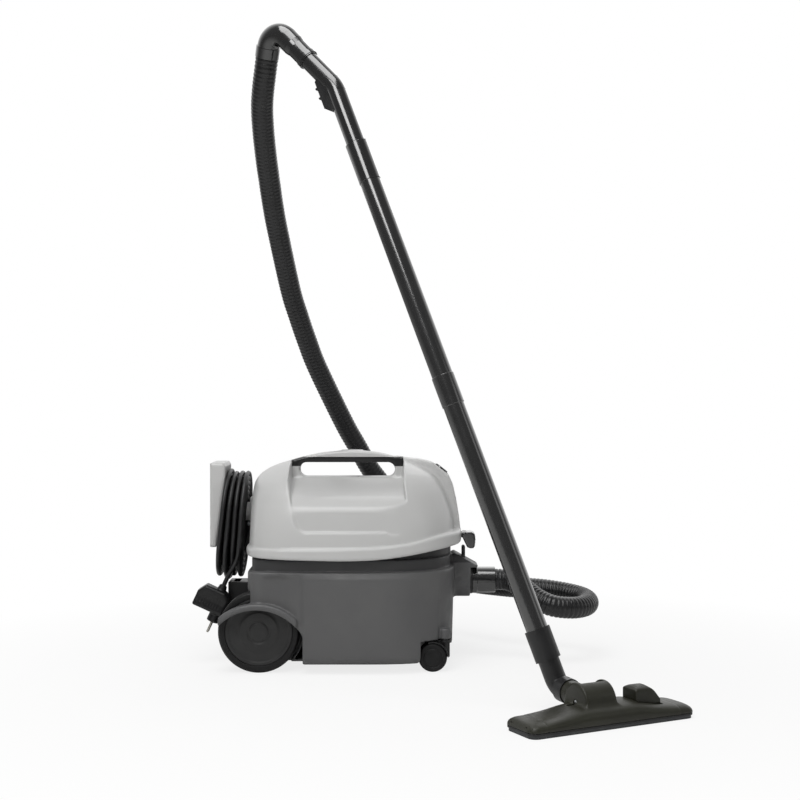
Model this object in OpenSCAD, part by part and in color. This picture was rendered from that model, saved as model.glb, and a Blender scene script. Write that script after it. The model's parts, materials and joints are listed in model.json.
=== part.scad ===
/* [Tub] */
// Front wall of the tub, from the machine's centre
tub_front = 182; // [172:1:192]
// Rear wall of the tub, from the machine's centre
tub_rear = 182; // [179:1:185]
// Half width of the tub at its top
tub_half_w = 160; // [157:1:162]
// Height of the tub's upper edge, below its neck
tub_top = 177; // [172:1:180]
// Height of the tub's underside
tub_bottom = 16; // [12:1:20]
// Wall of the tub
tub_wall = 3.5; // [2.5:0.5:4.5]
// How much narrower the tub is at its bottom, on each side
tub_draft = 4; // [2:0.5:6]
// How square the tub's front corners are (2 is an ellipse)
tub_square = 3.4; // [3:0.1:4]
// How square the tub's rear corners are
tub_rear_square = 12; // [8:0.5:14]
// Height of the parting line between tub and lid
parting_h = 200; // [196:1:204]
// How far the tub's neck stands in from its wall
neck_inset = 7; // [6:0.5:8]

/* [Hose inlet] */
// Height of the inlet's axis
inlet_h = 143; // [140:1:146]
// Face of the inlet boss, from the machine's centre
inlet_face = 212; // [206:1:218]
// Radius of the inlet boss
boss_r = 30; // [28:0.5:32]
// Bore of the boss that the inlet ring sits in
ring_seat_r = 24; // [23:0.5:25]
// Free bore of the inlet ring, around the cuff's spigot
spigot_r = 20.3; // [19.5:0.1:21]

/* [Rear wheels] */
// Radius of a rear wheel over its tyre
wheel_r = 71; // [68:0.5:72]
// Thickness of a rear wheel
wheel_w = 28; // [24:1:31]
// Axle position behind the machine's centre
wheel_back = 161; // [158:1:163]
// Outer face of the wheel, from the machine's middle plane
wheel_out = 141; // [138:0.5:146]
// Radius of the axle stub
axle_r = 6; // [5:0.5:8]
// Thickness of the tyre on the wheel's disc
tyre_t = 12; // [8:0.5:14]
// Gap between the tyre and its well
well_gap = 4; // [3:0.5:5]
// Outer face of the wheel arch, from the machine's middle plane
arch_out = 166; // [163:0.5:168]
// Height of the wheel arch's opening
arch_top = 112; // [108:1:116]
// Height of the band round the arch
arch_band = 11; // [8:0.5:13]

/* [Casters] */
// Radius of a caster wheel
caster_r = 25; // [22:0.5:25.5]
// Swivel axis of a caster, in front of the machine's centre
caster_front = 163; // [160:1:165]
// Swivel axis of a caster, from the machine's middle plane
caster_side = 117; // [114:1:120]
// Trail of a caster's wheels behind its swivel axis
caster_trail = 22; // [18:1:23]
// Thickness of one caster disc
caster_disc_w = 12; // [10:0.5:13]
// Radius of a caster's stem
stem_r = 5; // [4:0.5:6]

/* [Lid] */
// Front end of the rim band, from the machine's centre
rim_front = 195; // [193:1:197]
// Rear end of the rim band, from the machine's centre
rim_rear = 188; // [187:1:189]
// How far the rim band stands out from the tub's side
rim_over = 12; // [10:0.5:14]
// Height of the lid's top
lid_top = 381; // [378:1:386]
// Wall of the lid
lid_wall = 3; // [2.5:0.25:4]
// Length of the hand gap under the handle
grip_gap_len = 200; // [180:2:202]
// Lower edge of the hand gap
gap_floor = 333; // [330:1:336]
// Underside of the handle bar
bar_under = 359; // [357:1:361]
// Half width of the handle bar
bar_half_w = 19; // [16:0.5:22]
// Half width of the front spine
spine_half_w = 22; // [18:1:26]
// Travel of the lid when it is lifted off
lid_lift = 160; // [120:5:170]

/* [Motor and filters] */
// Radius of the fan housing
fan_r = 70; // [64:1:72]
// Height of the fan housing
fan_h = 38; // [34:1:42]
// Radius of the motor frame
motor_r = 45; // [40:1:50]
// Height of the motor frame
motor_h = 62; // [54:1:66]
// Radius of the rotor's shaft
shaft_r = 4; // [3:0.25:5]
// Radius of the filter basket
basket_r = 84; // [76:1:86]
// Depth of the filter basket below the lid's plate
basket_h = 62; // [52:1:64]
// Thickness of the filter cloth
cloth_t = 4; // [3:0.5:5]

/* [Wand] */
// Outer diameter of the wand tubes
tube_d = 34; // [33:0.2:35]
// Wall of the wand tubes
tube_wall = 1.2; // [0.8:0.1:1.5]
// Outer diameter of the bent handle tube
handle_d = 31; // [30:0.2:31.4]
// Length from the handle's bend to the nozzle's elbow
wand_len = 1025; // [1000:5:1050]
// Lean of the wand from upright, in degrees
wand_lean = 22; // [20:0.1:23]
// Bend of the handle, in degrees
handle_bend = 23.5; // [22:0.5:25]
// Length of the straight grip above the bend
grip_len = 74; // [68:1:80]
// Where the upper tube starts, below the bend
upper_start = 104; // [98:1:110]
// Where the lower tube's socket starts, below the bend
lower_start = 512; // [500:2:524]
// Length of wand below the upper end of its foot collar, to the elbow
collar_back = 92; // [89:1:98]

/* [Floor nozzle] */
// Length of the nozzle
nozzle_len = 292; // [280:2:300]
// Depth of the nozzle, front to back
nozzle_depth = 76; // [72:1:80]
// Height of the nozzle's ends
nozzle_end_h = 21; // [18:0.5:23]
// Height of the nozzle's body in the middle
nozzle_mid_h = 32; // [29:0.5:33]
// Height of the tilt axis over the floor
tilt_h = 33; // [32.5:0.5:35]
// Radius of the tilt barrel
barrel_r = 24; // [22:0.5:24.5]
// Distance from the tilt axis to the elbow's axis
yoke_len = 84.4; // [80:0.2:90]
// Angle of the nozzle to the machine, in degrees
nozzle_yaw = 27.5; // [25:0.5:30]
// Height of the pedal's top
pedal_top = 52; // [49:0.5:54]

/* [Hose and cord] */
// Diameter of the hose over its ribs
hose_d = 39; // [38:0.5:39.5]
// Bore of the hose
hose_bore = 32; // [30:0.5:33]
// Number of ribs along the hose
hose_ribs = 78; // [60:1:80]
// Diameter of the mains cord
cord_d = 8; // [7:0.1:8.2]
// Loops in the hank
hank_loops = 23.5; // [19.5:1:23.5]
// Height of the hank's outermost loop, along the cord's middle
hank_h = 197; // [190:1:200]
// Width of the hank's outermost loop, along the cord's middle
hank_w = 150; // [146:1:154]
// Step from one loop to the next in a layer
hank_step = 8.8; // [8.75:0.05:8.9]
// Step from one layer to the next
layer_step = 10.4; // [10.2:0.1:10.8]

// How much farther apart the layers hang at the hank's foot
layer_spread = 2.6; // [0:0.2:3]

/* [Hidden] */

$fn = 48;
eps = 0.01;
fit = 0.05;          // radial clearance of a shaft in its bore
gap = 0.35;          // clearance between bodies that pass each other
stand_x = -130;      // the machine's centre in the part's frame
stand_y = 210;
// directions of the outlines' points, from the front and from the rear axis
front_aims = [0, 5.4, 14.9, 24.8, 33.3, 40, 43.2, 46.8, 57, 65, 72, 79, 84.6, 90];
rear_aims = [0, 0.25, 3.6, 13.9, 24.2, 38.6, 47.3, 55.1, 61.4, 69.8, 76.5, 81.2, 84.1, 85.93, 87.27,
    87.63, 88.15, 89.87];

// ---- helpers ----

function power(v, p) = sign(v) * pow(abs(v), p);
function mix(a, b, t) = a + (b - a) * t;
function smooth(t) = let(c = max(0, min(1, t))) c * c * (3 - 2 * c);
// height of a curve given as [x, value] pairs
function curve(x, pairs, i = 0) =
    x <= pairs[i][0] ? pairs[i][1] :
    i == len(pairs) - 1 ? pairs[i][1] :
    x < pairs[i + 1][0] ? mix(pairs[i][1], pairs[i + 1][1],
        (x - pairs[i][0]) / (pairs[i + 1][0] - pairs[i][0])) :
    curve(x, pairs, i + 1);
// one closed outline: front and rear half lengths, half width, squareness of each end, height
function oval(front, rear, half_w, sf, sr, z) =
    let(nf = len(front_aims), nr = len(rear_aims),
        half = concat([for (a = front_aims) [front * power(cos(a), 2 / sf), half_w * power(sin(a), 2 / sf), z]],
            [for (k = [nr - 1 : -1 : 0]) let(a = rear_aims[k])
                [-rear * power(cos(a), 2 / sr), half_w * power(sin(a), 2 / sr), z]]))
    concat(half, [for (k = [nf + nr - 2 : -1 : 1]) [half[k][0], -half[k][1], z]]);
outline_n = 2 * (len(front_aims) + len(rear_aims)) - 2;

// solid through a stack of outlines with the same number of points
module loft(rings) {
    n = len(rings[0]);
    last = len(rings) - 1;
    polyhedron(
        points = [for (r = rings, p = r) p],
        faces = concat(
            [[for (i = [0 : n - 1]) i]],
            [for (k = [0 : last - 1], i = [0 : n - 1]) let(j = (i + 1) % n)
                [k * n + i, (k + 1) * n + i, (k + 1) * n + j]],
            [for (k = [0 : last - 1], i = [0 : n - 1]) let(j = (i + 1) % n)
                [k * n + i, (k + 1) * n + j, k * n + j]],
            [[for (i = [n - 1 : -1 : 0]) last * n + i]]),
        convexity = 6);
}

// ring whose section goes round the outline: each section is a list of points
module closed_sweep(sections) {
    n = len(sections);
    m = len(sections[0]);
    polyhedron(
        points = [for (s = sections, p = s) p],
        faces = concat(
            [for (i = [0 : n - 1], k = [0 : m - 1]) let(j = (i + 1) % n, q = (k + 1) % m)
                [i * m + k, j * m + k, j * m + q]],
            [for (i = [0 : n - 1], k = [0 : m - 1]) let(j = (i + 1) % n, q = (k + 1) % m)
                [i * m + k, j * m + q, i * m + q]]),
        convexity = 6);
}

module at_machine() translate([stand_x, stand_y, 0]) children();
module both_sides() { children(); mirror([0, 1, 0]) children(); }
module along_x(r, from, to) translate([from, 0, 0]) rotate([0, 90, 0]) cylinder(r = r, h = to - from);
module along_y(r, from, to) translate([0, to, 0]) rotate([90, 0, 0]) cylinder(r = r, h = to - from);
module tube(r, bore, h) difference() {
    cylinder(r = r, h = h);
    translate([0, 0, -1]) cylinder(r = bore, h = h + 2);
}
module rounded_plate(l, w, r, h) {
    translate([-l / 2 + r, -w / 2, 0]) cube([l - 2 * r, w, h]);
    translate([-l / 2, -w / 2 + r, 0]) cube([l, w - 2 * r, h]);
    for (x = [-1, 1], y = [-1, 1])
        translate([x * (l / 2 - r), y * (w / 2 - r), 0]) cylinder(r = r, h = h);
}
// thin band that joins two tubes end to end
module band(r, bore) translate([0, 0, -0.6]) tube(r + 0.12, bore - 0.12, 1.2);
// bent tube that starts at the origin going down -Z and bends towards +X
module bent(r, bore, bend_r, angle) translate([bend_r, 0, 0]) rotate([90, 0, 0]) rotate([0, 0, 180])
    rotate_extrude(angle = angle) translate([bend_r, 0]) difference() {
        circle(r = r);
        if (bore > 0) circle(r = bore);
    }

// ---- vectors of the wand and nozzle ----

wand_heading = -24.6;                            // level direction of the wand
wand_polar = 180 - wand_lean;
yoke_rise = 3.6;                                 // slope of the yoke's axis
handle_top = [-23, -260];                        // where the handle's bend stands
wand_z = [sin(wand_polar) * cos(wand_heading), sin(wand_polar) * sin(wand_heading), cos(wand_polar)];
wand_x = [cos(wand_polar) * cos(wand_heading), cos(wand_polar) * sin(wand_heading), -sin(wand_polar)];
wand_y = [-sin(wand_heading), cos(wand_heading), 0];
yoke_dir = [sin(nozzle_yaw) * cos(yoke_rise), -cos(nozzle_yaw) * cos(yoke_rise), -sin(yoke_rise)];
elbow_z = tilt_h + yoke_len * sin(yoke_rise);
bend_at = [handle_top[0], handle_top[1], elbow_z - wand_len * wand_z[2]];
elbow_at = bend_at + wand_len * wand_z;
tilt_at = elbow_at + yoke_len * yoke_dir;
elbow_angle = acos(yoke_dir * wand_z);
elbow_aim = atan2(yoke_dir * wand_y, yoke_dir * wand_x);
module at_wand() translate(bend_at) rotate([0, wand_polar, wand_heading]) children();
module at_grip() at_wand() rotate([0, -handle_bend, 0]) children();
module at_yoke() translate(elbow_at) rotate([0, 90 + yoke_rise, nozzle_yaw - 90]) children();
tilt_in = [-14, 8];                              // tilt axis in the nozzle's own frame
nozzle_at = [tilt_at[0] - tilt_in[0] * cos(nozzle_yaw) + tilt_in[1] * sin(nozzle_yaw),
    tilt_at[1] - tilt_in[0] * sin(nozzle_yaw) - tilt_in[1] * cos(nozzle_yaw), 0];
module at_nozzle() translate(nozzle_at) rotate([0, 0, nozzle_yaw]) children();

// ---- tub ----

tub_foot_r = 9;      // rounding of the tub's lower edge
function tub_ring(z, inset, side = 0) =
    let(t = (tub_top - z) / (tub_top - tub_bottom))
    oval(tub_front - tub_draft * t - inset, tub_rear - inset,
        tub_half_w - tub_draft * t - inset + side, tub_square, tub_rear_square, z);
// the side wall's relief: a shallow hollow over the wheel and a raised panel
panel_from = -84;
panel_to = 154;
panel_proud = 2.2;
hollow_deep = 3.8;
function side_step(x) = curve(x, [[-168, 0], [-158, -0.2 * hollow_deep], [-142, -0.8 * hollow_deep],
    [-128, -hollow_deep], [-115, -0.8 * hollow_deep], [-104, -0.35 * hollow_deep],
    [panel_from - 6, 0], [panel_from - 1.5, 0], [panel_from + 1, panel_proud], [panel_to - 4, panel_proud],
    [panel_to + 2, 0]]);
function stepped(ring, share) = [for (p = ring)
    [p[0], p[1] + (abs(p[1]) > 60 ? sign(p[1]) * share * side_step(p[0]) : 0), p[2]]];
well_r = wheel_r + well_gap;
well_in = wheel_out - wheel_w - 3;   // inner wall of the wheel well
well_out = wheel_out + 3;            // inside of the wall that hides the wheel's top
axle_z = wheel_r;
pocket_r = caster_trail + caster_r + 4;
pocket_h = 2 * caster_r + 5;
cavity_floor = tub_bottom + tub_wall;

module tub_outside() {
    loft([stepped(tub_ring(tub_bottom, tub_foot_r), 0),
        stepped(tub_ring(tub_bottom + 2.5, tub_foot_r * 0.35), 0.8),
        stepped(tub_ring(tub_bottom + tub_foot_r, 0), 1),
        stepped(tub_ring(tub_top - 6, 0), 1),
        stepped(tub_ring(tub_top, 2), 0)]);
    // neck that carries the seal
    loft([tub_ring(tub_top - 4, neck_inset), tub_ring(parting_h - 1, neck_inset)]);
}
module well_housing(grow) both_sides() translate([-wheel_back, 0, axle_z])
    along_y(well_r + grow, well_in - grow, well_out + (grow > 0 ? 40 : 0));
arch_r = 91;                   // radius of the arch's opening
arch_at = [-wheel_back - 2, arch_top - arch_r];
arch_edge = -84;               // upright front edge of the opening
// band round the arch, proud of the tub's wall and running on behind it
module arches() both_sides() translate([0, arch_out, 0]) rotate([90, 0, 0])
    linear_extrude(arch_out - well_out - 0.5) intersection() {
        difference() {
            translate(arch_at) circle(r = arch_r + arch_band, $fn = 120);
            translate(arch_at) circle(r = arch_r, $fn = 120);
        }
        translate([arch_at[0] - 66, arch_at[1] + 20]) square([136, 100]);
    }
module arch_openings() both_sides() translate([0, arch_out + 5, 0]) rotate([90, 0, 0])
    linear_extrude(arch_out + 5 - well_in - 10) intersection() {
        translate(arch_at) circle(r = arch_r, $fn = 120);
        translate([-400, -5]) square([400 + arch_edge, 400]);
    }
// the bump that carries the caster's stem, and the undercut of the front
module caster_pocket(grow) both_sides() translate([caster_front, caster_side, -grow])
    cylinder(r = pocket_r + grow, h = pocket_h + 2 * grow, $fn = 64);
undercut_from = 158;
module front_undercut(grow) {
    translate([undercut_from - grow, -200, -1 - grow]) cube([100, 400, 39 + 2 * grow]);
    both_sides() translate([undercut_from - grow, 64 - grow, -1 - grow])
        cube([100, 200, pocket_h + 1 + 2 * grow]);
}
catch_top = parting_h + 6;     // top of the catch, behind the latch's nose
boss_lip = 15;                 // how far the sloping roof runs past the boss
module inlet_boss() {
    translate([0, 0, inlet_h]) along_x(boss_r, tub_front - 30, inlet_face);
    translate([0, boss_r, 0]) rotate([90, 0, 0]) linear_extrude(2 * boss_r)
        polygon([[tub_front - 30, tub_top], [tub_front + 1, parting_h - 5],
            [inlet_face + boss_lip, inlet_h + boss_r - 2.4], [inlet_face + boss_lip - 2, inlet_h + boss_r - 4],
            [inlet_face, inlet_h + boss_r - 4], [inlet_face, inlet_h + 12], [tub_front - 30, inlet_h + 12]]);
    // catch under the front latch
    translate([latch_pivot[0] - 5, -12, inlet_h + 20]) cube([6, 24, catch_top - inlet_h - 20]);
}
stem_h = 16;                   // length of stem held in the tub
module tub() at_machine() color("#5a5b5d") difference() {
    union() {
        difference() {
            union() {
                tub_outside();
                inlet_boss();
            }
            difference() {
                loft([tub_ring(cavity_floor, tub_wall + tub_foot_r * 0.6),
                    tub_ring(cavity_floor + 6, tub_wall + 3),
                    tub_ring(tub_top - 6, neck_inset + tub_wall + 1),
                    tub_ring(parting_h + 1, neck_inset + tub_wall)]);
                well_housing(tub_wall);
                caster_pocket(tub_wall);
                front_undercut(tub_wall);
            }
        }
        arches();
        both_sides() translate([caster_front, caster_side, pocket_h])
            cylinder(r = stem_r + 5, h = stem_h + 3);
        both_sides() translate([-wheel_back, 0, axle_z]) along_y(axle_r + 5, well_in - 22, well_in);
    }
    well_housing(0);
    arch_openings();
    caster_pocket(0);
    front_undercut(0);
    both_sides() translate([caster_front, caster_side, 0])
        cylinder(r = stem_r + fit, h = pocket_h + stem_h);
    both_sides() translate([-wheel_back, 0, axle_z]) along_y(axle_r, well_in - 18, well_in + 5);
    translate([0, 0, inlet_h]) along_x(ring_seat_r, tub_front - 40, inlet_face + 20);
}

seal_t = 1;
module tub_seal() at_machine() color("#1d1d1f")
    closed_sweep([for (i = [0 : outline_n - 1])
        let(o = tub_ring(parting_h - 1, neck_inset + 0.5)[i], q = tub_ring(parting_h - 1, neck_inset + 3)[i])
        [[o[0], o[1], parting_h - 1], [q[0], q[1], parting_h - 1],
         [q[0], q[1], parting_h - 1 + seal_t], [o[0], o[1], parting_h - 1 + seal_t]]]);

ring_flange = 4;
module inlet_ring() at_machine() translate([0, 0, inlet_h]) color("#161617") difference() {
    union() {
        along_x(ring_seat_r - fit, tub_front - 14, inlet_face);
        along_x(ring_seat_r + 1.2, inlet_face, inlet_face + ring_flange);
    }
    along_x(spigot_r + fit, tub_front - 15, inlet_face + ring_flange + 1);
}

bag_top = parting_h - 82;
bag_foot = 22;
bag_half = [98, 100];
bag_at = [59.5, 0];
module dust_bag() at_machine() translate([bag_at[0], bag_at[1], 0]) color("#d8cfb8") loft([
    for (s = [[0, 0.7, 34], [1 / 24, 0.88, 42], [3 / 16, 1, 46], [19 / 48, 1, 46], [13 / 24, 1, bag_half[0]],
        [41 / 48, 1, bag_half[0]], [15 / 16, 0.86, bag_half[0] - 12], [1, 0.55, bag_half[0] - 40]])
        oval(s[2], bag_half[0] * s[1], bag_half[1] * s[1], 2.8, 2.8, mix(bag_foot, bag_top, s[0]))]);

collar_t = 2;
collar_x = tub_front - 22;
module bag_collar() at_machine() color("#b08d5c") difference() {
    translate([collar_x - collar_t, -46, inlet_h - 47]) cube([collar_t, 92, 76]);
    translate([0, 0, inlet_h]) along_x(spigot_r + 2, collar_x - 10, collar_x + 10);
}
module bag_holder() at_machine() color("#3b3c3e") difference() {
    translate([collar_x, -52, inlet_h - 51]) cube([7.5, 104, 84]);
    translate([collar_x - 1, -40, inlet_h - 41]) cube([10, 80, 66]);
}

module wheel_axles() at_machine() color("#b9bcc0") both_sides()
    translate([-wheel_back, 0, axle_z]) along_y(axle_r - fit, well_in - 18, wheel_out - 4);

module parking_bracket() at_machine() color("#19191a") difference() {
    translate([-tub_rear - 46, -26, 84]) cube([46, 52, 58]);
    // slot for the nozzle's parking hook, open at the top
    translate([-tub_rear - 38, -18, 92]) cube([12, 36, 60]);
    translate([-tub_rear - 18, -20, 80]) cube([14, 40, 50]);
}

// ---- wheels ----

hub_cap_t = 3;
module wheel_disc(side) at_machine() translate([-wheel_back, 0, axle_z]) scale_side(side)
    color("#333436") difference() {
        union() {
            along_y(wheel_r - tyre_t, wheel_out - wheel_w + 1, wheel_out - 1);
            along_y(axle_r + 8, well_in + 0.5, wheel_out - wheel_w + 1);
            along_y(34, wheel_out - 1, wheel_out);
        }
        along_y(axle_r + fit, well_in - 1, wheel_out - 4 + fit);
        difference() {
            along_y(wheel_r - tyre_t - 8, wheel_out - wheel_w, wheel_out - wheel_w + 20);
            along_y(axle_r + 8, wheel_out - wheel_w - 1, wheel_out);
        }
    }
module tyre(side) at_machine() translate([-wheel_back, 0, axle_z]) scale_side(side)
    color("#202022") translate([0, wheel_out, 0]) rotate([90, 0, 0]) rotate_extrude($fn = 96)
        polygon([[wheel_r - tyre_t, 0.6], [wheel_r - 3, 0], [wheel_r, 4], [wheel_r, wheel_w - 4],
            [wheel_r - 3, wheel_w], [wheel_r - tyre_t, wheel_w - 0.6]]);
module scale_side(side) mirror([0, side > 0 ? 0 : 1, 0]) children();

// ---- casters ----

hood_web = 9;                 // thickness of the hood's middle web
hood_t = 2;                   // roof of the hood over the wheels
hood_gap = 0.8;
axle_caster_r = 3;
module at_caster(side) at_machine() translate([caster_front, side * caster_side, 0]) children();
module caster_hood(side) at_caster(side) color("#1b1b1c") difference() {
    union() {
        translate([0, 0, pocket_h - 4]) cylinder(r = stem_r, h = stem_h + 3.5);
        translate([0, 0, pocket_h - 4]) cylinder(r = stem_r + 5, h = 3.6);
        // web and roof, round the wheels' axis
        translate([-caster_trail, 0, caster_r]) along_y(caster_r - 2, -hood_web / 2, hood_web / 2);
        intersection() {
            translate([-caster_trail, 0, caster_r]) difference() {
                along_y(caster_r + hood_gap + hood_t, -hood_web / 2 - caster_disc_w, hood_web / 2 + caster_disc_w);
                along_y(caster_r + hood_gap, -hood_web / 2 - caster_disc_w - 1, hood_web / 2 + caster_disc_w + 1);
            }
            translate([-caster_trail - 8, -40, caster_r + 1]) cube([60, 80, 60]);
        }
        translate([-caster_trail, -hood_web / 2, caster_r]) cube([caster_trail + stem_r + 3, hood_web, pocket_h - caster_r - 1]);
        translate([0, 0, caster_r]) cylinder(r = stem_r + 1, h = pocket_h - caster_r - 1);
    }
    translate([-caster_trail, 0, caster_r]) {
        along_y(axle_caster_r, -40, 40);
        for (s = [-1, 1]) along_y(caster_r + hood_gap, s > 0 ? hood_web / 2 : -hood_web / 2 - 40,
            s > 0 ? hood_web / 2 + 40 : -hood_web / 2);
    }
}
module caster_axle(side) at_caster(side) translate([-caster_trail, 0, caster_r]) color("#a9acb0")
    along_y(axle_caster_r - fit, -hood_web / 2 - caster_disc_w + 2, hood_web / 2 + caster_disc_w - 2);
module caster_wheels(side) at_caster(side) translate([-caster_trail, 0, caster_r]) color("#262628")
    both_sides() difference() {
        union() {
            along_y(caster_r, hood_web / 2 + 1, hood_web / 2 + caster_disc_w - 2);
            along_y(caster_r - 2, hood_web / 2 + caster_disc_w - 2, hood_web / 2 + caster_disc_w);
            along_y(axle_caster_r + 4, hood_web / 2 + gap, hood_web / 2 + 1);
        }
        along_y(axle_caster_r + fit, -1, hood_web / 2 + caster_disc_w - 2 + fit);
    }

// ---- lid ----

lid_zero = 200;      // parting height that the lid's own heights are written for
half_zero = 160;     // half width of the tub that the dome's own half widths are written for
rim_half_w = tub_half_w + rim_over;
module at_lid() at_machine() translate([0, 0, parting_h - lid_zero]) children();

// the dome: height, front, rear and half width
dome = [[200, 183, 184, 167], [234, 181.5, 183.5, 165.5], [262, 178, 183, 162], [290, 171, 182, 155],
    [312, 163, 180, 145], [329, 153, 176, 131], [342, 141, 165, 114], [353, 122, 145, 93],
    [362, 98, 117, 72], [370, 72, 88, 52], [376, 48, 60, 35], [381, 20, 28, 15]];
lid_k = (lid_top - lid_zero) / 181;
function dome_ring(d, inset) = oval(d[1] - inset, d[2] - inset, d[3] * tub_half_w / half_zero - inset,
    mix(3.1, 2.2, (d[0] - 200) / 181), mix(5, 2.2, pow((d[0] - 200) / 181, 1.5)), lid_zero + (d[0] - 200) * lid_k - (d[0] > 235 ? inset : 0));
module dome_solid(inset) loft([for (d = dome) if (d[3] > inset + 6) dome_ring(d, inset)]);
// rim band: lower edge tilts up to the front, upper edge rises more
function rim_low(x) = curve(x, [[-188, 201.5], [-150, 200.5], [-60, 198], [0, 197.5],
    [50, 200], [100, 206], [150, 213.5], [175, 216.5], [195, 217]]);
function rim_high(x) = curve(x, [[-188, 217], [-100, 218], [0, 219.5], [60, 222],
    [100, 226.5], [150, 237], [175, 240], [195, 239]]);
module rim_band() {
    o = oval(rim_front, rim_rear, rim_half_w, 3, 5.5, 0);
    m = oval(rim_front - 2, rim_rear - 2, rim_half_w - 2, 3, 5.5, 0);
    q = oval(rim_front - 7, rim_rear - 3, rim_half_w - 6, 3, 5.5, 0);
    w = oval(tub_front - 3.4, tub_rear - 4, rim_half_w - 14, 3.1, 5.5, 0);
    closed_sweep([for (i = [0 : outline_n - 1]) let(x = o[i][0])
        [[w[i][0], w[i][1], max(lid_zero + 3, rim_low(x) + 2)], [w[i][0], w[i][1], rim_high(x) - 2],
         [q[i][0], q[i][1], rim_high(x)], [o[i][0], o[i][1], rim_high(x) - 4],
         [o[i][0], o[i][1], rim_low(x) + 3], [m[i][0], m[i][1], rim_low(x)]]]);
}
// side scoops: window seen from the side, and the slope seen from the end
grip_mid = -12;                // middle of the hand gap
scoop_from = grip_mid - grip_gap_len / 2;
scoop_to = grip_mid + grip_gap_len / 2 + 2;
scoop_low = 246;
scoop_corner = 22;
scoop_lean = [15, 8];          // how far the scoop's two ends lean to the front at its foot
module scoop(grow) both_sides() intersection() {
    translate([0, 240, 0]) rotate([90, 0, 0]) linear_extrude(240) {
        translate([scoop_from - grow, gap_floor]) square([scoop_to - scoop_from + 2 * grow, 90]);
        hull() {
            translate([scoop_from - grow, gap_floor]) square([scoop_to - scoop_from + 2 * grow, 1]);
            for (x = [scoop_from + scoop_lean[0] + scoop_corner, scoop_to + scoop_lean[1] - scoop_corner])
                translate([x, scoop_low + scoop_corner]) circle(r = scoop_corner + grow, $fn = 32);
        }
    }
    rotate([90, 0, 90]) translate([0, 0, -200]) linear_extrude(400) polygon([
        [bar_half_w + grow, 420], [bar_half_w, gap_floor - 2 - grow],
        [132, scoop_low + 56 - grow], [154 - grow, scoop_low + 40], [159 - grow, scoop_low - 10],
        [240, scoop_low - 10], [240, 420]]);
}
module hand_gap(grow) {
    half = grip_gap_len / 2;
    end_r = (bar_under - gap_floor) / 2;
    translate([grip_mid - half + end_r, -120, gap_floor - grow])
        cube([2 * half - 2 * end_r, 240, bar_under - gap_floor + 2 * grow]);
    for (s = [-1, 1]) translate([grip_mid + s * (half - end_r), 0, gap_floor + end_r])
        along_y(end_r + grow, -120, 120);
}
// raised spine down the front, with the sloped seat of the power button
spine_out = [[60, 300], [78, 368.6], [98, 366.6], [118, 364.6], [135, 361], [146, 357], [173, 336], [180, 320], [186, 294],
    [191, 264], [194, 238], [194, 210], [150, 210]];
module spine() translate([0, spine_half_w, 0]) rotate([90, 0, 0]) linear_extrude(2 * spine_half_w)
    polygon(spine_out);
module spine_room() translate([0, spine_half_w - lid_wall, 0]) rotate([90, 0, 0])
    linear_extrude(2 * (spine_half_w - lid_wall))
        polygon([[84, 300], [96, 358], [118, 360.5], [133, 357], [144, 353], [169, 333], [176, 318], [182, 293],
            [187, 263], [190, 237], [190, 206], [150, 206]]);
button_at = [159.5, 346.5];   // middle of the button, in X and Z
button_tilt = 37.9;             // slope of the button's seat
button_len = 26;
button_w = 22;
button_travel = 3;
module at_button() at_lid() translate([button_at[0], 0, button_at[1]]) rotate([0, button_tilt, 0])
    children();
module oval_prism(l, w, h) {
    translate([-(l - w) / 2, -w / 2, 0]) cube([l - w, w, h]);
    for (s = [-1, 1]) translate([s * (l - w) / 2, 0, 0]) cylinder(r = w / 2, h = h);
}
latch_half_w = 19;
ear_y = 9;                    // middle of each latch ear
ear_t = 5;
latch_pivot = [202, 226];     // latch pin's axis, in X and Z
hook_half_w = 45;
gland_at = [-186, 95, 222];
module lid_cover() color("#cfd0d0") difference() {
    at_lid() difference() {
        union() {
            difference() {
                union() {
                    dome_solid(0);
                    spine();
                }
                difference() {
                    union() {
                        translate([0, 0, -eps]) dome_solid(lid_wall);
                        spine_room();
                    }
                    scoop(lid_wall);
                    hand_gap(lid_wall);
                    // the handle bar stays solid
                    translate([scoop_from - 4, -bar_half_w - 2, gap_floor - lid_wall])
                        cube([scoop_to - scoop_from + 8, 2 * bar_half_w + 4, 80]);
                }
            }
            rim_band();
            // latch ears, let into the latch
            for (s = [-1, 1]) {
                translate([rim_front - 8, s * ear_y - ear_t / 2, latch_pivot[1] - 4.5])
                    cube([latch_pivot[0] - rim_front + 8, ear_t, 9]);
                translate([latch_pivot[0], s * ear_y, latch_pivot[1]]) along_y(5, -ear_t / 2, ear_t / 2);
            }
        }
        // the wall ends at the rising rim
        translate([0, 200, 0]) rotate([90, 0, 0]) linear_extrude(400) polygon(concat([[rim_front + 3, lid_zero - 5],
            [20, lid_zero - 5]], [for (x = [20, 50, 100, 150, 175, rim_front + 3]) [x, rim_low(x) + 1]]));
        scoop(0);
        hand_gap(0);
        translate([latch_pivot[0], 0, latch_pivot[1]]) along_y(2.05, -40, 40);
        translate([gland_at[0], gland_at[1], gland_at[2]]) along_x(9, -30, 30);
        // holes for the hook's screws
        for (z = hook_screw_z) translate([0, 0, z]) along_x(2.4, -200, -150);
    }
    at_button() translate([0, 0, -14]) oval_prism(button_len + 3.7, button_w + 3.7, 40);
}
hook_screw_z = [246, 268];

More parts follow.
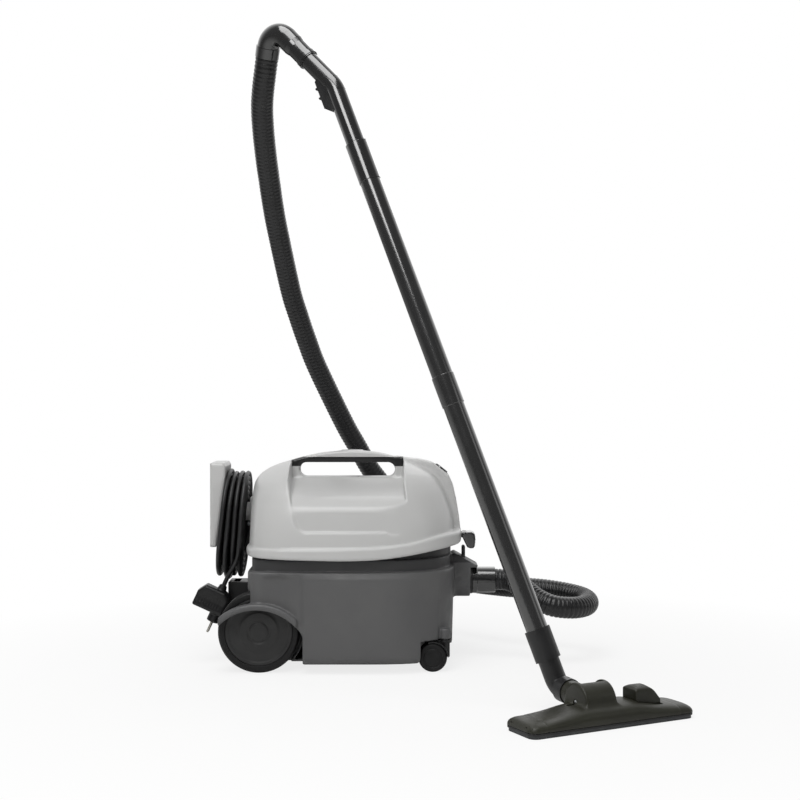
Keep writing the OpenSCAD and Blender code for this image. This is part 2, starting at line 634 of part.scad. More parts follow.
base_t = 5;
function flange_ring(z) = oval(tub_front - 3.4, tub_rear - 3.8, rim_half_w - 13.8, 3.1, 5.5, z);
function base_ring(z, inset) = oval(tub_front - inset, tub_rear - inset, tub_half_w - inset, 3.1, 5, z);
module lid_base() at_lid() color("#2c2d2f") difference() {
    union() {
        loft([base_ring(lid_zero, neck_inset - 1), base_ring(lid_zero + base_t, neck_inset - 1)]);
        // flange that the rim's inner edge rests on
        intersection() {
            loft([flange_ring(lid_zero), flange_ring(lid_zero + 3 - fit)]);
            translate([-300, -300, 0]) cube([320, 600, 400]);
        }
        translate([0, 0, lid_zero]) cylinder(r = fan_r + 6, h = base_t + 4);
        // skirt that centres the lid in the tub's neck
        closed_sweep([for (i = [0 : outline_n - 1])
            let(o = base_ring(lid_zero, neck_inset + tub_wall + 1.2)[i], q = base_ring(lid_zero, neck_inset + tub_wall + 4)[i])
            [[o[0], o[1], lid_zero - 8], [q[0], q[1], lid_zero - 8], [q[0], q[1], lid_zero + 2], [o[0], o[1], lid_zero + 2]]]);
        // wall that closes the space behind the rising rim
        closed_sweep([for (i = [0 : outline_n - 1])
            let(o = base_ring(lid_zero, neck_inset - 1)[i], q = base_ring(lid_zero, neck_inset + 2)[i],
                z = max(lid_zero + base_t - 1, rim_low(o[0]) + 3))
            [[o[0], o[1], lid_zero + 1], [q[0], q[1], lid_zero + 1], [q[0], q[1], z], [o[0], o[1], z]]]);
        for (x = [-150, 140], y = [-80, 80]) translate([x, y, lid_zero]) cylinder(r = 6, h = 18);
    }
    translate([0, 0, lid_zero - 20]) cylinder(r = 22, h = 60);
    translate([0, 0, lid_zero + base_t]) cylinder(r = fan_r + 3, h = 40);
    for (x = [-150, 140], y = [-80, 80]) translate([x, y, lid_zero - 20]) cylinder(r = 2.05, h = 34);
}
module lid_screws() at_lid() color("#8d9094")
    for (x = [-150, 140], y = [-80, 80]) translate([x, y, lid_zero]) {
        translate([0, 0, -3]) cylinder(r = 4, h = 3);
        cylinder(r = 2, h = 13);
    }

mount_t = 3;
fan_z = lid_zero + base_t + mount_t;
module lower_motor_mount() at_lid() color("#121213") translate([0, 0, lid_zero + base_t])
    tube(fan_r + 2.5, 26, mount_t);
module fan_housing() at_lid() color("#9a9da1") translate([0, 0, fan_z]) difference() {
    cylinder(r = fan_r, h = fan_h);
    translate([0, 0, 2]) cylinder(r = fan_r - 2, h = fan_h - 4);
    translate([0, 0, -1]) cylinder(r = 24, h = 4);
    translate([0, 0, fan_h - 3]) cylinder(r = shaft_r + 3, h = 4);
}
module impeller() at_lid() color("#c4c7ca") translate([0, 0, fan_z + 6]) {
    difference() {
        union() {
            cylinder(r = fan_r - 6, h = 1.5);
            cylinder(r = shaft_r + 6, h = 14);
            for (a = [0 : 40 : 320]) rotate([0, 0, a]) translate([shaft_r + 5, -0.8, 1]) cube([fan_r - shaft_r - 12, 1.6, 12]);
        }
        translate([0, 0, -1]) cylinder(r = shaft_r, h = 20);
    }
}
motor_z = fan_z + fan_h;
module motor_frame() at_lid() color("#7f8286") translate([0, 0, motor_z]) difference() {
    cylinder(r = motor_r, h = motor_h);
    translate([0, 0, 8]) cylinder(r = motor_r - 14, h = motor_h - 16);
    translate([0, 0, -1]) cylinder(r = shaft_r + fit, h = motor_h - 5);
    for (a = [45 : 90 : 315]) rotate([0, 0, a]) translate([motor_r - 9, -7, 10]) cube([20, 14, motor_h - 20]);
}
module rotor_core() at_lid() color("#b07a45") translate([0, 0, fan_z + 4]) {
    cylinder(r = shaft_r - eps, h = motor_z - fan_z - 4 + motor_h - 7);
    translate([0, 0, motor_z - fan_z - 4 + 10]) cylinder(r = motor_r - 16, h = motor_h - 34);
    translate([0, 0, motor_z - fan_z - 4 + motor_h - 22]) cylinder(r = 14, h = 10);
}
module upper_motor_mount() at_lid() color("#121213") translate([0, 0, motor_z + motor_h])
    tube(17, 8, gap_floor - lid_wall - motor_z - motor_h - 0.3);

module filter_basket() at_lid() color("#222324") translate([0, 0, lid_zero - basket_h]) difference() {
    union() {
        cylinder(r = basket_r - cloth_t - 0.5, h = basket_h);
        translate([0, 0, basket_h - 3]) cylinder(r = basket_r + 6, h = 3);
    }
    translate([0, 0, 3]) cylinder(r = basket_r - cloth_t - 4, h = basket_h);
    for (a = [0 : 45 : 315]) rotate([0, 0, a]) translate([40, -14, 14]) cube([60, 28, basket_h - 28]);
}
module filter_cloth() at_lid() color("#e4e2da") translate([0, 0, lid_zero - basket_h - cloth_t]) difference() {
    cylinder(r = basket_r, h = basket_h + cloth_t - 3.3);
    translate([0, 0, cloth_t]) cylinder(r = basket_r - cloth_t, h = basket_h);
}
module exhaust_filter() at_lid() color("#e9e9e6")
    translate([-150, -50, lid_zero + base_t]) cube([62, 100, 34]);

module button_bezel() at_button() color("#262728") translate([0, 0, -12]) difference() {
    oval_prism(button_len + 3.6, button_w + 3.6, 12.5);
    translate([0, 0, -1]) oval_prism(button_len + 2 * gap, button_w + 2 * gap, 20);
}
module power_button() at_button() color("#0e0e0f") translate([0, 0, -7]) oval_prism(button_len, button_w, 10);

// ---- latch ----

module at_latch() at_lid() translate([latch_pivot[0], 0, latch_pivot[1]]) children();
pin_half = latch_half_w - 4;
module latch_pin() at_latch() color("#a9acb0") along_y(2, -pin_half, pin_half);
module front_latch() at_latch() color("#131314") difference() {
    union() {
        along_y(6, -latch_half_w, latch_half_w);
        translate([0.5, latch_half_w, 0]) rotate([90, 0, 0]) linear_extrude(2 * latch_half_w)
            polygon([[-5, -3], [3, 5.8], [12, 6], [18, 2], [19, -8], [18, -20], [15, -24], [9, -24], [4, -22], [-3, -8]]);
    }
    along_y(2 + fit, -pin_half - 0.5, pin_half + 0.5);
    both_sides() {
        along_y(5 + 2 * gap, ear_y - ear_t / 2 - gap, ear_y + ear_t / 2 + gap);
        translate([-20, ear_y - ear_t / 2 - gap, -20]) cube([20, ear_t + 2 * gap, 40]);
    }
}

// ---- cord hook, gland, hank, plug ----

hank_at = [-218, 0, 245];
hank_tilt = 5;
hook_top = 359;
hook_foot = 207;
hook_back = 259;
arm_r = 17;
module at_hank() at_lid() translate(hank_at) rotate([0, hank_tilt, 0]) children();
module cord_hook() at_lid() color("#c9caca") difference() {
    union() {
        // arm through the hank, from the lid's rear wall to the flange
        translate([0, 0, hook_arm_z]) along_x(arm_r, -250, -dome_rear + 2);
        // flange, wedge-shaped, open to the rear
        translate([0, hook_half_w, 0]) rotate([90, 0, 0]) linear_extrude(2 * hook_half_w)
            polygon([[-hook_back, hook_foot], [-247.6, hook_foot], [-231.2, 330], [-230.2, hook_top - 6],
                [-234, hook_top], [-hook_back, hook_top]]);
        // foot plate on the lid's rear wall
        translate([-dome_rear - 4, -26, 236]) cube([8, 52, 60]);
    }
    dome_solid(0);
    translate([0, hook_half_w - 4, 0]) rotate([90, 0, 0]) linear_extrude(2 * hook_half_w - 8)
        polygon([[-hook_back - 5, hook_foot + 4], [-251.6, hook_foot + 4], [-235.2, 330], [-235, hook_top - 4],
            [-hook_back - 5, hook_top - 4]]);
    for (z = hook_screw_z) translate([0, 0, z]) along_x(2.05, -280, -150);
    for (z = hook_screw_z) translate([0, 0, z]) along_x(5, -280, -dome_rear - 8);
}
hook_arm_z = 268.5;
dome_rear = 184;
module hook_screws() at_lid() color("#8d9094") for (z = hook_screw_z) translate([0, 0, z]) {
    along_x(2, -dome_rear - 8, -dome_rear + 12);
    along_x(4, -dome_rear - 11, -dome_rear - 8);
}

gland_len = 24;
module cord_gland() at_lid() translate(gland_at) color("#101011") rotate([0, -90, 0]) difference() {
    union() {
        translate([0, 0, -6]) cylinder(r = 9 - fit, h = 8);
        translate([0, 0, 2]) cylinder(r1 = 8, r2 = cord_d / 2 + 1.6, h = gland_len - 2);
    }
    translate([0, 0, -7]) cylinder(r = cord_d / 2, h = gland_len + 8);
}

// ---- swept tubes ----

function catmull(p, i, t) = let(a = p[i - 1], b = p[i], c = p[i + 1], d = p[i + 2])
    0.5 * (2 * b + (c - a) * t + (2 * a - 5 * b + 4 * c - d) * t * t + (3 * b - a - 3 * c + d) * t * t * t);
// points spaced evenly in the curve's own parameter, k from 0 to n
function along(route, n) = let(p = concat([2 * route[0] - route[1]], route,
        [2 * route[len(route) - 1] - route[len(route) - 2]]), m = len(route) - 1)
    [for (k = [0 : n]) let(u = min(k * m / n, m - 1e-6), i = floor(u)) catmull(p, i + 1, u - i)];
function lengths(p, i = 1, acc = [0]) = i >= len(p) ? acc :
    lengths(p, i + 1, concat(acc, [acc[i - 1] + norm(p[i] - p[i - 1])]));
function find(s, at, lo, hi) = hi - lo <= 1 ? lo : let(mid = floor((lo + hi) / 2))
    s[mid] <= at ? find(s, at, mid, hi) : find(s, at, lo, mid);
function point_at(p, s, at) = let(i = find(s, at, 0, len(p) - 1))
    p[i] + (p[i + 1] - p[i]) * ((at - s[i]) / (s[i + 1] - s[i]));
function unit(v) = v / norm(v);
// a ring of points round each path point; the frame is carried along without twist
function carry(v, t) = unit(v - (v * t) * t);
function frames(t, i = 0, acc = []) = i >= len(t) ? acc :
    frames(t, i + 1, concat(acc, [carry(i == 0 ? (abs(t[0][2]) < 0.9 ? [0, 0, 1] : [1, 0, 0]) : acc[i - 1], t[i])]));
function tangents(p) = [for (i = [0 : len(p) - 1])
    unit(p[min(i + 1, len(p) - 1)] - p[max(i - 1, 0)])];
function tube_points(p, r, sides) = let(t = tangents(p), f = frames(t))
    [for (i = [0 : len(p) - 1]) let(g = cross(t[i], f[i])) for (k = [0 : sides - 1])
        let(a = 360 * k / sides) p[i] + r[i] * (cos(a) * f[i] + sin(a) * g)];
module swept(p, r, sides) {
    last = len(p) - 1;
    polyhedron(points = tube_points(p, r, sides), faces = concat(
        [[for (k = [0 : sides - 1]) k]],
        [for (i = [0 : last - 1], k = [0 : sides - 1]) let(q = (k + 1) % sides)
            [i * sides + k, (i + 1) * sides + q, i * sides + q]],
        [for (i = [0 : last - 1], k = [0 : sides - 1]) let(q = (k + 1) % sides)
            [i * sides + k, (i + 1) * sides + k, (i + 1) * sides + q]],
        [[for (k = [sides - 1 : -1 : 0]) last * sides + k]]), convexity = 8);
}

// route of the hose's middle line, from the inlet cuff to the handle's cuff
hose_route = [[240, 0, 143], [262, 0, 143], [282, -2, 142], [303, -15, 134], [319, -32, 122],
    [337, -48, 111], [361, -58, 103], [395, -50, 99], [421, -24, 99], [430, 12, 101], [422, 46, 104],
    [396, 70, 108], [360, 84, 112], [322, 100, 113], [286, 124, 112], [224, 180, 112],
    [196, 208, 120], [168, 230, 138], [140, 246, 166], [114, 254, 200], [90, 255, 238],
    [45, 241, 304], [22, 228, 336], [-1, 215, 378], [-27, 198, 426], [-76, 156, 532],
    [-95, 132, 584], [-110, 108, 632], [-123, 82, 680], [-141, 20, 781],
    [-147, -10, 824], [-151, -40, 866], [-154, -70, 904], [-155.5, -102, 943], [-155, -130, 977],
    [-151, -154, 1004], [-145.4, -173.4, 1031.1], [-142.1, -181.9, 1048.1], [-138.8, -190.4, 1065.1]];
hose_fine = along(hose_route, 600);
hose_s = lengths(hose_fine);
hose_len = hose_s[len(hose_s) - 1];
// the bore's path: the route, with points between where it bends most
spans = len(hose_route) - 1;
function span_parts(k) = let(a = hose_route[k], b = hose_route[k + 1], m = hose_fine[round(600 * (k + 0.5) / spans)])
    max(1, ceil(sqrt(norm(m - (a + b) / 2) / 1.5)));
bore_route = concat([1.4 * hose_route[0] - 0.4 * hose_route[1]],
    [for (k = [0 : spans - 1]) let(n = span_parts(k)) for (h = [0 : n - 1])
        hose_fine[round(600 * (k + h / n) / spans)]],
    [hose_route[spans], 1.3 * hose_route[spans] - 0.3 * hose_route[spans - 1]]);
rib_rings = 2 * hose_ribs;
rib_deep = 1.6;
module hose() at_machine() color("#1a1a1b") difference() {
    swept([for (i = [0 : rib_rings]) point_at(hose_fine, hose_s, hose_len * i / rib_rings)],
        [for (i = [0 : rib_rings]) hose_d / 2 - (i % 2 == 0 ? rib_deep : 0)], 8);
    let(p = bore_route) swept(p, [for (q = p) hose_bore / 2 - 1.8], 8);
}
echo(hose_length_mm = round(hose_len));

cuff_r = 23.5;
sleeve_r = hose_d / 2 + 0.3;
module hose_inlet_cuff() at_machine() translate([0, 0, inlet_h]) color("#1f1f20") difference() {
    union() {
        along_x(spigot_r - fit, tub_front - 10, inlet_face + ring_flange);
        along_x(cuff_r, inlet_face + ring_flange, 258);
        along_x(cuff_r + 1.2, inlet_face + ring_flange, inlet_face + ring_flange + 9);
    }
    along_x(hose_bore / 2, tub_front - 20, 260);
    along_x(sleeve_r, 240, 260);
}

// hank: loops in the tilted plane behind the lid, four layers
layers = 4;
per_loop = 18;
function hank_inset(turn) = let(q = hank_loops / layers, k = floor(turn / q), s = turn - k * q)
    hank_step * (k % 2 == 0 ? s : q - s);
function hank_layer(turn) = let(q = hank_loops / layers)
    smooth((turn - q) / 0.5 + 0.5) + smooth((turn - 2 * q) / 0.5 + 0.5) + smooth((turn - 3 * q) / 0.5 + 0.5);
// a stadium loop: share of a turn to a point, with more rings round the ends
arc_rings = 6;
run_rings = 3;
function stadium(turn, inset) =
    let(w = hank_w / 2 - inset, run = hank_h / 2 - inset - w, f = (turn - floor(turn)) * per_loop,
        h = f < per_loop / 2 ? f : f - per_loop / 2, up = f < per_loop / 2 ? 1 : -1)
    h < arc_rings ?
        let(a = 180 * h / arc_rings) [w * cos(a) * up, (run + w * sin(a)) * up] :
        let(b = (h - arc_rings) / run_rings) [-w * up, mix(run, -run, b) * up];
hank_turn_from = 0;
hank_rings = round(hank_loops * per_loop);
function hank_point(k) = let(turn = k / per_loop, c = stadium(turn, hank_inset(turn)))
    [(hank_layer(turn) - (layers - 1) / 2) * (layer_step + layer_spread * (0.5 - c[1] / hank_h)), c[0], c[1]];
// straight ends, one diameter long, square to what they meet
hank_path = let(p = [for (k = [0 : hank_rings]) hank_point(k)], n = len(p) - 1)
    concat([p[0] + [0, 0, -cord_d]], p, [p[n] + [0, 0, -cord_d]]);
module cord_hank() at_hank() color("#141415")
    swept(hank_path, [for (p = hank_path) cord_d / 2], 6);
hank_s = lengths(hank_path);
echo(hank_length_mm = round(hank_s[len(hank_s) - 1]));
hank_near = [for (i = [0 : len(hank_path) - 1], j = [i + 8 : 1 : min(len(hank_path) - 1, i + 2 * per_loop + 2)])
    if (norm(hank_path[i] - hank_path[j]) < 3 * cord_d) segment_gap(i, j)];
function segment_gap(i, j) = let(p = hank_path[i], a = hank_path[j], b = hank_path[min(j + 1, len(hank_path) - 1)],
    d = b - a, t = norm(d) == 0 ? 0 : max(0, min(1, (p - a) * d / (d * d)))) norm(p - a - t * d);
echo(hank_least_gap_mm = min(hank_near) - cord_d);

// where the hank's two ends lie in the machine's frame
function from_hank(p) = hank_at + [p[0] * cos(hank_tilt) + p[2] * sin(hank_tilt), p[1],
    -p[0] * sin(hank_tilt) + p[2] * cos(hank_tilt)];
hank_start = from_hank(hank_path[0]);
hank_end = from_hank(hank_path[len(hank_path) - 1]);
lead_route = [[-200, 95, 222], [-210, 95, 222], [-222, 94, 223], [-232, 89, 227], [-236, 82, 236],
    [-235, 77, 247], [-233.8, 75, 254], [-233.7, 75, 261.9]];
module cord_lead() at_lid() color("#141415")
    let(p = along(lead_route, 12)) swept(p, [for (q = p) cord_d / 2], 8);
tail_route = [[-202.8, -75, 212], [-203.4, -74.8, 203], [-206, -71, 190], [-213, -62, 176],
    [-222, -53, 162], [-229, -50, 148], [-236, -50, 132]];
module cord_tail() at_lid() color("#141415")
    let(p = along(tail_route, 11)) swept(p, [for (q = p) cord_d / 2], 8);

plug_at = [-253, -50, 115];
plug_tilt = 24.6;
module at_plug() at_lid() translate(plug_at) rotate([0, plug_tilt, 0]) children();
plug_half = [30, 17, 21];
module mains_plug() at_plug() color("#121213") difference() {
    union() {
        translate([0, plug_half[1], 0]) rotate([90, 0, 0]) linear_extrude(2 * plug_half[1])
            polygon([[-plug_half[0], -plug_half[2]], [plug_half[0], -plug_half[2]], [plug_half[0], 12],
                [18, plug_half[2]], [-20, plug_half[2]], [-plug_half[0], 6]]);
        translate([16, 0, -plug_half[2] - 16]) cylinder(r = 11, h = 17);
        translate([8, 0, plug_half[2] - eps]) cylinder(r1 = 9, r2 = 6.5, h = 10);
    }
    translate([8, 0, 0]) cylinder(r = cord_d / 2, h = 60);
    for (y = [-5.5, 5.5]) translate([16, y, -plug_half[2] - 17]) cylinder(r = 2.2, h = 12);
}
module plug_pins() at_plug() color("#b9bcc0") for (y = [-5.5, 5.5])
    translate([16, y, -plug_half[2] - 36]) cylinder(r = 2.2, h = 31);

// ---- handle, wand ----

cuff_from = 66;               // start of the swivel cuff, above the bend
cuff_to = 125;                // end of the cuff's straight part
cuff_out_r = 19;
elbow_bend_r = 28;
elbow_turn = 112.27;
elbow_roll = 20.67;
bend_r = 45;
bend_run = bend_r * tan(handle_bend / 2);
module grip_tube() color("#151516") {
    at_machine() at_wand() {
        translate([0, 0, bend_run]) tube(handle_d / 2, handle_d / 2 - 2.4, upper_start + 46 - bend_run);
        translate([0, 0, bend_run]) bent(handle_d / 2, handle_d / 2 - 2.4, bend_r, handle_bend);
        translate([0, 0, bend_run]) band(handle_d / 2, handle_d / 2 - 2.4);
    }
    at_machine() at_grip() {
        translate([0, 0, -cuff_from]) tube(handle_d / 2, handle_d / 2 - 2.4, cuff_from - bend_run);
        translate([0, 0, -bend_run]) band(handle_d / 2, handle_d / 2 - 2.4);
        translate([0, 0, -cuff_to + 6]) tube(handle_d / 2 - 1.5, handle_d / 2 - 3.4, cuff_to - 6 - cuff_from + 2);
    }
}
cuff_bore = handle_d / 2 - 1.5 + fit;
module hose_wand_cuff() at_machine() at_grip() color("#1f1f20") {
    difference() {
        union() {
            translate([0, 0, -cuff_to]) cylinder(r = cuff_out_r, h = 18);
            translate([0, 0, -cuff_to + 18 - eps]) cylinder(r1 = cuff_out_r, r2 = cuff_out_r - 1.8, h = 10);
            translate([0, 0, -cuff_to]) cylinder(r = cuff_out_r - 1.8, h = cuff_to - cuff_from - gap);
            translate([0, 0, -cuff_from - gap - 9]) cylinder(r = cuff_out_r - 0.8, h = 7);
        }
        translate([0, 0, -cuff_to + 5.6]) cylinder(r = cuff_bore, h = cuff_to);
        translate([0, 0, -cuff_to - 1]) cylinder(r = hose_bore / 2 - 2, h = 20);
    }
    translate([0, 0, -cuff_to]) rotate([0, 0, elbow_roll]) {
        bent(cuff_out_r, hose_bore / 2 - 2, elbow_bend_r, elbow_turn);
        band(cuff_out_r, hose_bore / 2 - 2);
        translate([elbow_bend_r, 0, 0]) rotate([0, -elbow_turn, 0]) translate([-elbow_bend_r, 0, -16])
            difference() {
                tube(cuff_out_r + 1.6, hose_bore / 2 - 2.5, 17);
                translate([0, 0, -1]) cylinder(r = sleeve_r, h = 13);
            }
    }
}
grip_z = let(b = handle_bend) wand_z * cos(b) - wand_x * sin(b);
grip_x = let(b = handle_bend) wand_x * cos(b) + wand_z * sin(b);
cuff_c = bend_at - cuff_to * grip_z;
roll_x = cos(elbow_roll) * grip_x + sin(elbow_roll) * wand_y;
cuff_dir = sin(elbow_turn) * roll_x - cos(elbow_turn) * grip_z;
cuff_end = cuff_c + elbow_bend_r * (1 - cos(elbow_turn)) * roll_x - elbow_bend_r * sin(elbow_turn) * grip_z
    + 16 * cuff_dir;

// the bent handle as a plain solid, for parts that sit against it
module handle_solid() {
    translate([0, 0, bend_run - 1]) cylinder(r = handle_d / 2, h = 100);
    translate([0, 0, bend_run]) bent(handle_d / 2 + fit, 0, bend_r, handle_bend);
    rotate([0, -handle_bend, 0]) translate([0, 0, -cuff_from]) cylinder(r = handle_d / 2, h = cuff_from - bend_run + 1);
}
slider_travel = 10;
slider_seat = 22.5;
module regulator_housing() at_machine() at_wand() color("#101011") difference() {
    translate([0, 12, 0]) rotate([90, 0, 0]) linear_extrude(24)
        polygon([[4, -16], [22, -22], [26, -18], [26, 30], [18, 38], [4, 38]]);
    handle_solid();
    translate([slider_seat, -8, -13]) cube([20, 16, 38]);
}
module regulator_slider() at_machine() at_wand() color("#2a2a2b") {
    translate([slider_seat + gap, -8 + gap, -13 + gap]) cube([4, 16 - 2 * gap, 38 - slider_travel - 2 * gap]);
    for (z = [-10, 7]) translate([25, -8 + gap, z]) cube([6, 16 - 2 * gap, 3]);
}
sleeve_end = 172;
module wand_sleeve() at_machine() at_wand() color("#0f0f10") translate([0, 0, upper_start])
    tube(tube_d / 2 + 0.9, tube_d / 2, sleeve_end - upper_start);
joint_len = 46;
collar_start = wand_len - collar_back;
tube_bore = tube_d / 2 - tube_wall;
module upper_tube() at_machine() at_wand() color("#1c1c1d") difference() {
    translate([0, 0, upper_start]) cylinder(r = tube_d / 2, h = lower_start + joint_len - upper_start);
    translate([0, 0, upper_start - 1]) cylinder(r = tube_bore, h = wand_len);
}
socket_r = tube_d / 2 + tube_wall;
module lower_tube() at_machine() at_wand() color("#1c1c1d") difference() {
    union() {
        translate([0, 0, lower_start]) cylinder(r = socket_r, h = joint_len + 4);
        translate([0, 0, lower_start + joint_len]) cylinder(r = tube_d / 2, h = collar_start + 44 - lower_start - joint_len);
    }
    translate([0, 0, lower_start - 1]) cylinder(r = tube_d / 2, h = joint_len + 1);
    translate([0, 0, lower_start]) cylinder(r = tube_bore, h = wand_len);
}
neck_r = 16.5;
neck_bend_r = 20;
neck_run = neck_bend_r * tan(elbow_angle / 2);
collar_len = 49;
swivel_from = neck_run;
swivel_len = 18;
module neck_elbow() at_machine() color("#17170f") {
    at_wand() {
        translate([0, 0, collar_start]) difference() {
            union() {
                cylinder(r = 20, h = collar_len);
                cylinder(r = neck_r, h = wand_len - collar_start - neck_run);
            }
            translate([0, 0, -1]) cylinder(r = tube_d / 2, h = collar_len - 4);
            cylinder(r = neck_r - 2.5, h = wand_len);
        }
        translate([0, 0, wand_len - neck_run]) band(neck_r, neck_r - 2.5);
        translate([0, 0, wand_len - neck_run]) rotate([0, 0, elbow_aim]) rotate([180, 0, 0]) mirror([0, 1, 0])
            bent(neck_r, neck_r - 2.5, neck_bend_r, elbow_angle);
    }
    at_yoke() translate([0, 0, swivel_from]) difference() {
        translate([0, 0, -1]) cylinder(r = neck_r + 3, h = swivel_len + 1);
        translate([0, 0, -2]) cylinder(r = neck_r - 2.7, h = 6);
        translate([0, 0, 3]) cylinder(r = neck_r - 1 + fit, h = swivel_len);
    }
}

// ---- nozzle ----

barrel_half = 21;
module nozzle_yoke() at_machine() color("#17170f") {
    at_yoke() difference() {
        union() {
            translate([0, 0, swivel_from + 3.4]) cylinder(r = neck_r - 1, h = yoke_len - swivel_from - 10);
            translate([0, 0, swivel_from + swivel_len + gap])
                cylinder(r = neck_r + 1.5, h = yoke_len - swivel_from - swivel_len - 10);
            translate([0, 0, yoke_len]) rotate([0, 90, 90]) translate([0, 0, -barrel_half])
                cylinder(r = barrel_r, h = 2 * barrel_half);
        }
        cylinder(r = neck_r - 3.5, h = yoke_len);
        translate([0, 0, yoke_len]) rotate([0, 90, 0]) cylinder(r = 11, h = 2 * barrel_r);
        translate([0, 0, yoke_len]) rotate([0, 90, 90]) translate([0, 0, -barrel_half - 1])
            cylinder(r = 4 + fit, h = 2 * barrel_half + 2);
    }
}
sole_t = 5;
bumper_t = 3;
cover_z = sole_t + bumper_t;
function cover_h(x) = curve(abs(x), [[0, nozzle_mid_h], [48, nozzle_mid_h], [90, nozzle_mid_h - 7], [nozzle_len / 2 - 12, nozzle_end_h],
    [nozzle_len / 2, nozzle_end_h - 7]]);
function cover_half(x, inset) = let(e = max(0, abs(x) - (nozzle_len / 2 - 14)) / 14)
    nozzle_depth / 2 - inset - 14 * (1 - sqrt(max(0, 1 - e * e * 0.9)));
// a section across the nozzle: half a squared oval, closed along its flat base
function cover_section(x, inset) = [for (k = [0 : 12]) let(a = 180 * k / 12)
    [x, cover_half(x, inset) * power(cos(a), 2 / 3.2),
        cover_z - (inset > 0 ? 1 : 0) + (cover_h(x) - cover_z - inset + (inset > 0 ? 1 : 0)) * power(sin(a), 2 / 3.2)]];
stations = [-0.5, -0.47, -0.42, -0.31, -0.17, -0.08, 0.08, 0.17, 0.31, 0.42, 0.47, 0.5];
module cover_solid(inset) loft([for (s = stations) cover_section(s * (nozzle_len - 2 * inset), inset)]);
hood_r = barrel_r + 5.5;
module nozzle_cover() at_machine() at_nozzle() color("#2a2a22") difference() {
    union() {
        difference() {
            cover_solid(0);
            cover_solid(2.5);
        }
        // cheeks and front hood round the tilt barrel
        translate([tilt_in[0], tilt_in[1], tilt_h]) rotate([0, 90, 0]) translate([0, 0, -barrel_half - 6])
            intersection() {
                cylinder(r = hood_r, h = 2 * barrel_half + 12);
                translate([-60, -60, 0]) cube([60 + tilt_h - cover_z, 120, 200]);
            }
        // bosses for the pedal's pivot
        for (x = [pedal_from - gap - 3, pedal_to + gap])
            translate([x, -6, boss_z]) cube([3, 12, cover_h(x) - 1.2 - boss_z]);
    }
    translate([tilt_in[0], tilt_in[1], tilt_h]) rotate([0, 90, 0]) {
        translate([0, 0, -barrel_half - gap]) cylinder(r = barrel_r + gap, h = 2 * barrel_half + 2 * gap);
        translate([0, 0, -barrel_half - 20]) cylinder(r = 4, h = 2 * barrel_half + 40);
    }
    // sweep of the yoke: open to the rear and up to its highest tilt
    translate([tilt_in[0] - neck_r - 4.5, tilt_in[1], tilt_h - neck_r - 6]) cube([2 * neck_r + 9, 60, 80]);
    translate([tilt_in[0] - neck_r - 4.5, tilt_in[1] - 4, tilt_h]) cube([2 * neck_r + 9, 60, 80]);
    translate([-80, -60, -10]) cube([160, 120, 10 + cover_z]);
    // window for the pedal
    translate([pedal_from - gap, -22, cover_z + 2]) cube([pedal_to - pedal_from + 2 * gap, 44, 60]);
    translate([0, 0, pedal_axis_z]) along_x(2.5, pedal_from - 8, pedal_to + 8);
}
module tilt_pins() at_machine() at_nozzle() color("#a9acb0")
    for (s = [-1, 1]) translate([tilt_in[0], tilt_in[1], tilt_h]) rotate([0, 90, 0])
        translate([0, 0, s > 0 ? barrel_half - 7 : -barrel_half - 6]) cylinder(r = 3.99, h = 13);
slot_len = 216;
slot_w = 14;
module nozzle_sole() at_machine() at_nozzle() color("#6f7173") difference() {
    rounded_plate(nozzle_len - 4, nozzle_depth - 4, 12, sole_t);
    translate([0, -14, -1]) rounded_plate(slot_len, slot_w, 4, sole_t + 2);
    for (y = [-30, 4]) translate([-slot_len / 2, y - 2.6, -1]) cube([slot_len, 5.2, sole_t + 2]);
    translate([-30, -6, -1]) cube([60, 6, sole_t + 2]);
}
module nozzle_bumper() at_machine() at_nozzle() color("#26261f") translate([0, 0, sole_t]) difference() {
    rounded_plate(nozzle_len, nozzle_depth, 14, bumper_t);
    translate([0, 0, -1]) rounded_plate(nozzle_len - 8, nozzle_depth - 7, 10, bumper_t + 2);
}
pedal_from = 50;
pedal_to = 96;
pedal_r = 30;
pedal_axis_z = 18;
pedal_swing = 14;
module foot_pedal() at_machine() at_nozzle() color("#2e2e26") difference() {
    union() {
        intersection() {
            translate([0, 0, pedal_top - pedal_r]) along_x(pedal_r, pedal_from, pedal_to);
            translate([0, 17, 0]) rotate([90, 0, 0]) linear_extrude(34)
                polygon([[pedal_from, 22], [pedal_from, pedal_top - 6], [pedal_from + 7, pedal_top],
                    [pedal_from + 24, pedal_top], [pedal_from + 35, pedal_top - 9],
                    [pedal_to, pedal_top - 22], [pedal_to, 22]]);
        }
        translate([0, 0, pedal_axis_z]) along_x(5.5, pedal_from, pedal_to);
        translate([pedal_from, -5, pedal_axis_z]) cube([pedal_to - pedal_from, 10, 8]);
        translate([0, 0, pedal_axis_z]) along_x(2.5 - fit, pedal_from - 4, pedal_to + 4);
    }
}
brush_travel = 5;
brush_z = cover_z - 3 + brush_travel + 0.2;
boss_z = brush_z + 2.4;        // underside of the pedal's bosses, clear of the brush frame
barrel_room = barrel_half + 14;       // half the length kept free under the barrel
module brush_frame() at_machine() at_nozzle() color("#3a3a3a") difference() {
    translate([-slot_len / 2 + 1, -33, brush_z]) cube([slot_len - 2, 40, 2]);
    translate([0, -14, 0]) rounded_plate(slot_len - 12, slot_w + 6, 4, 40);
    translate([tilt_in[0] - barrel_room, -12, 0]) cube([2 * barrel_room, 60, 40]);
}
module brush_strips() at_machine() at_nozzle() color("#0c0c0c") difference() {
    for (y = [-30, 4]) translate([-slot_len / 2 + 1, y - 2, 0.6]) cube([slot_len - 2, 4, brush_z - 0.6]);
    translate([tilt_in[0] - barrel_room, -12, -1]) cube([2 * barrel_room, 60, 40]);
}

// ---- nodes ----

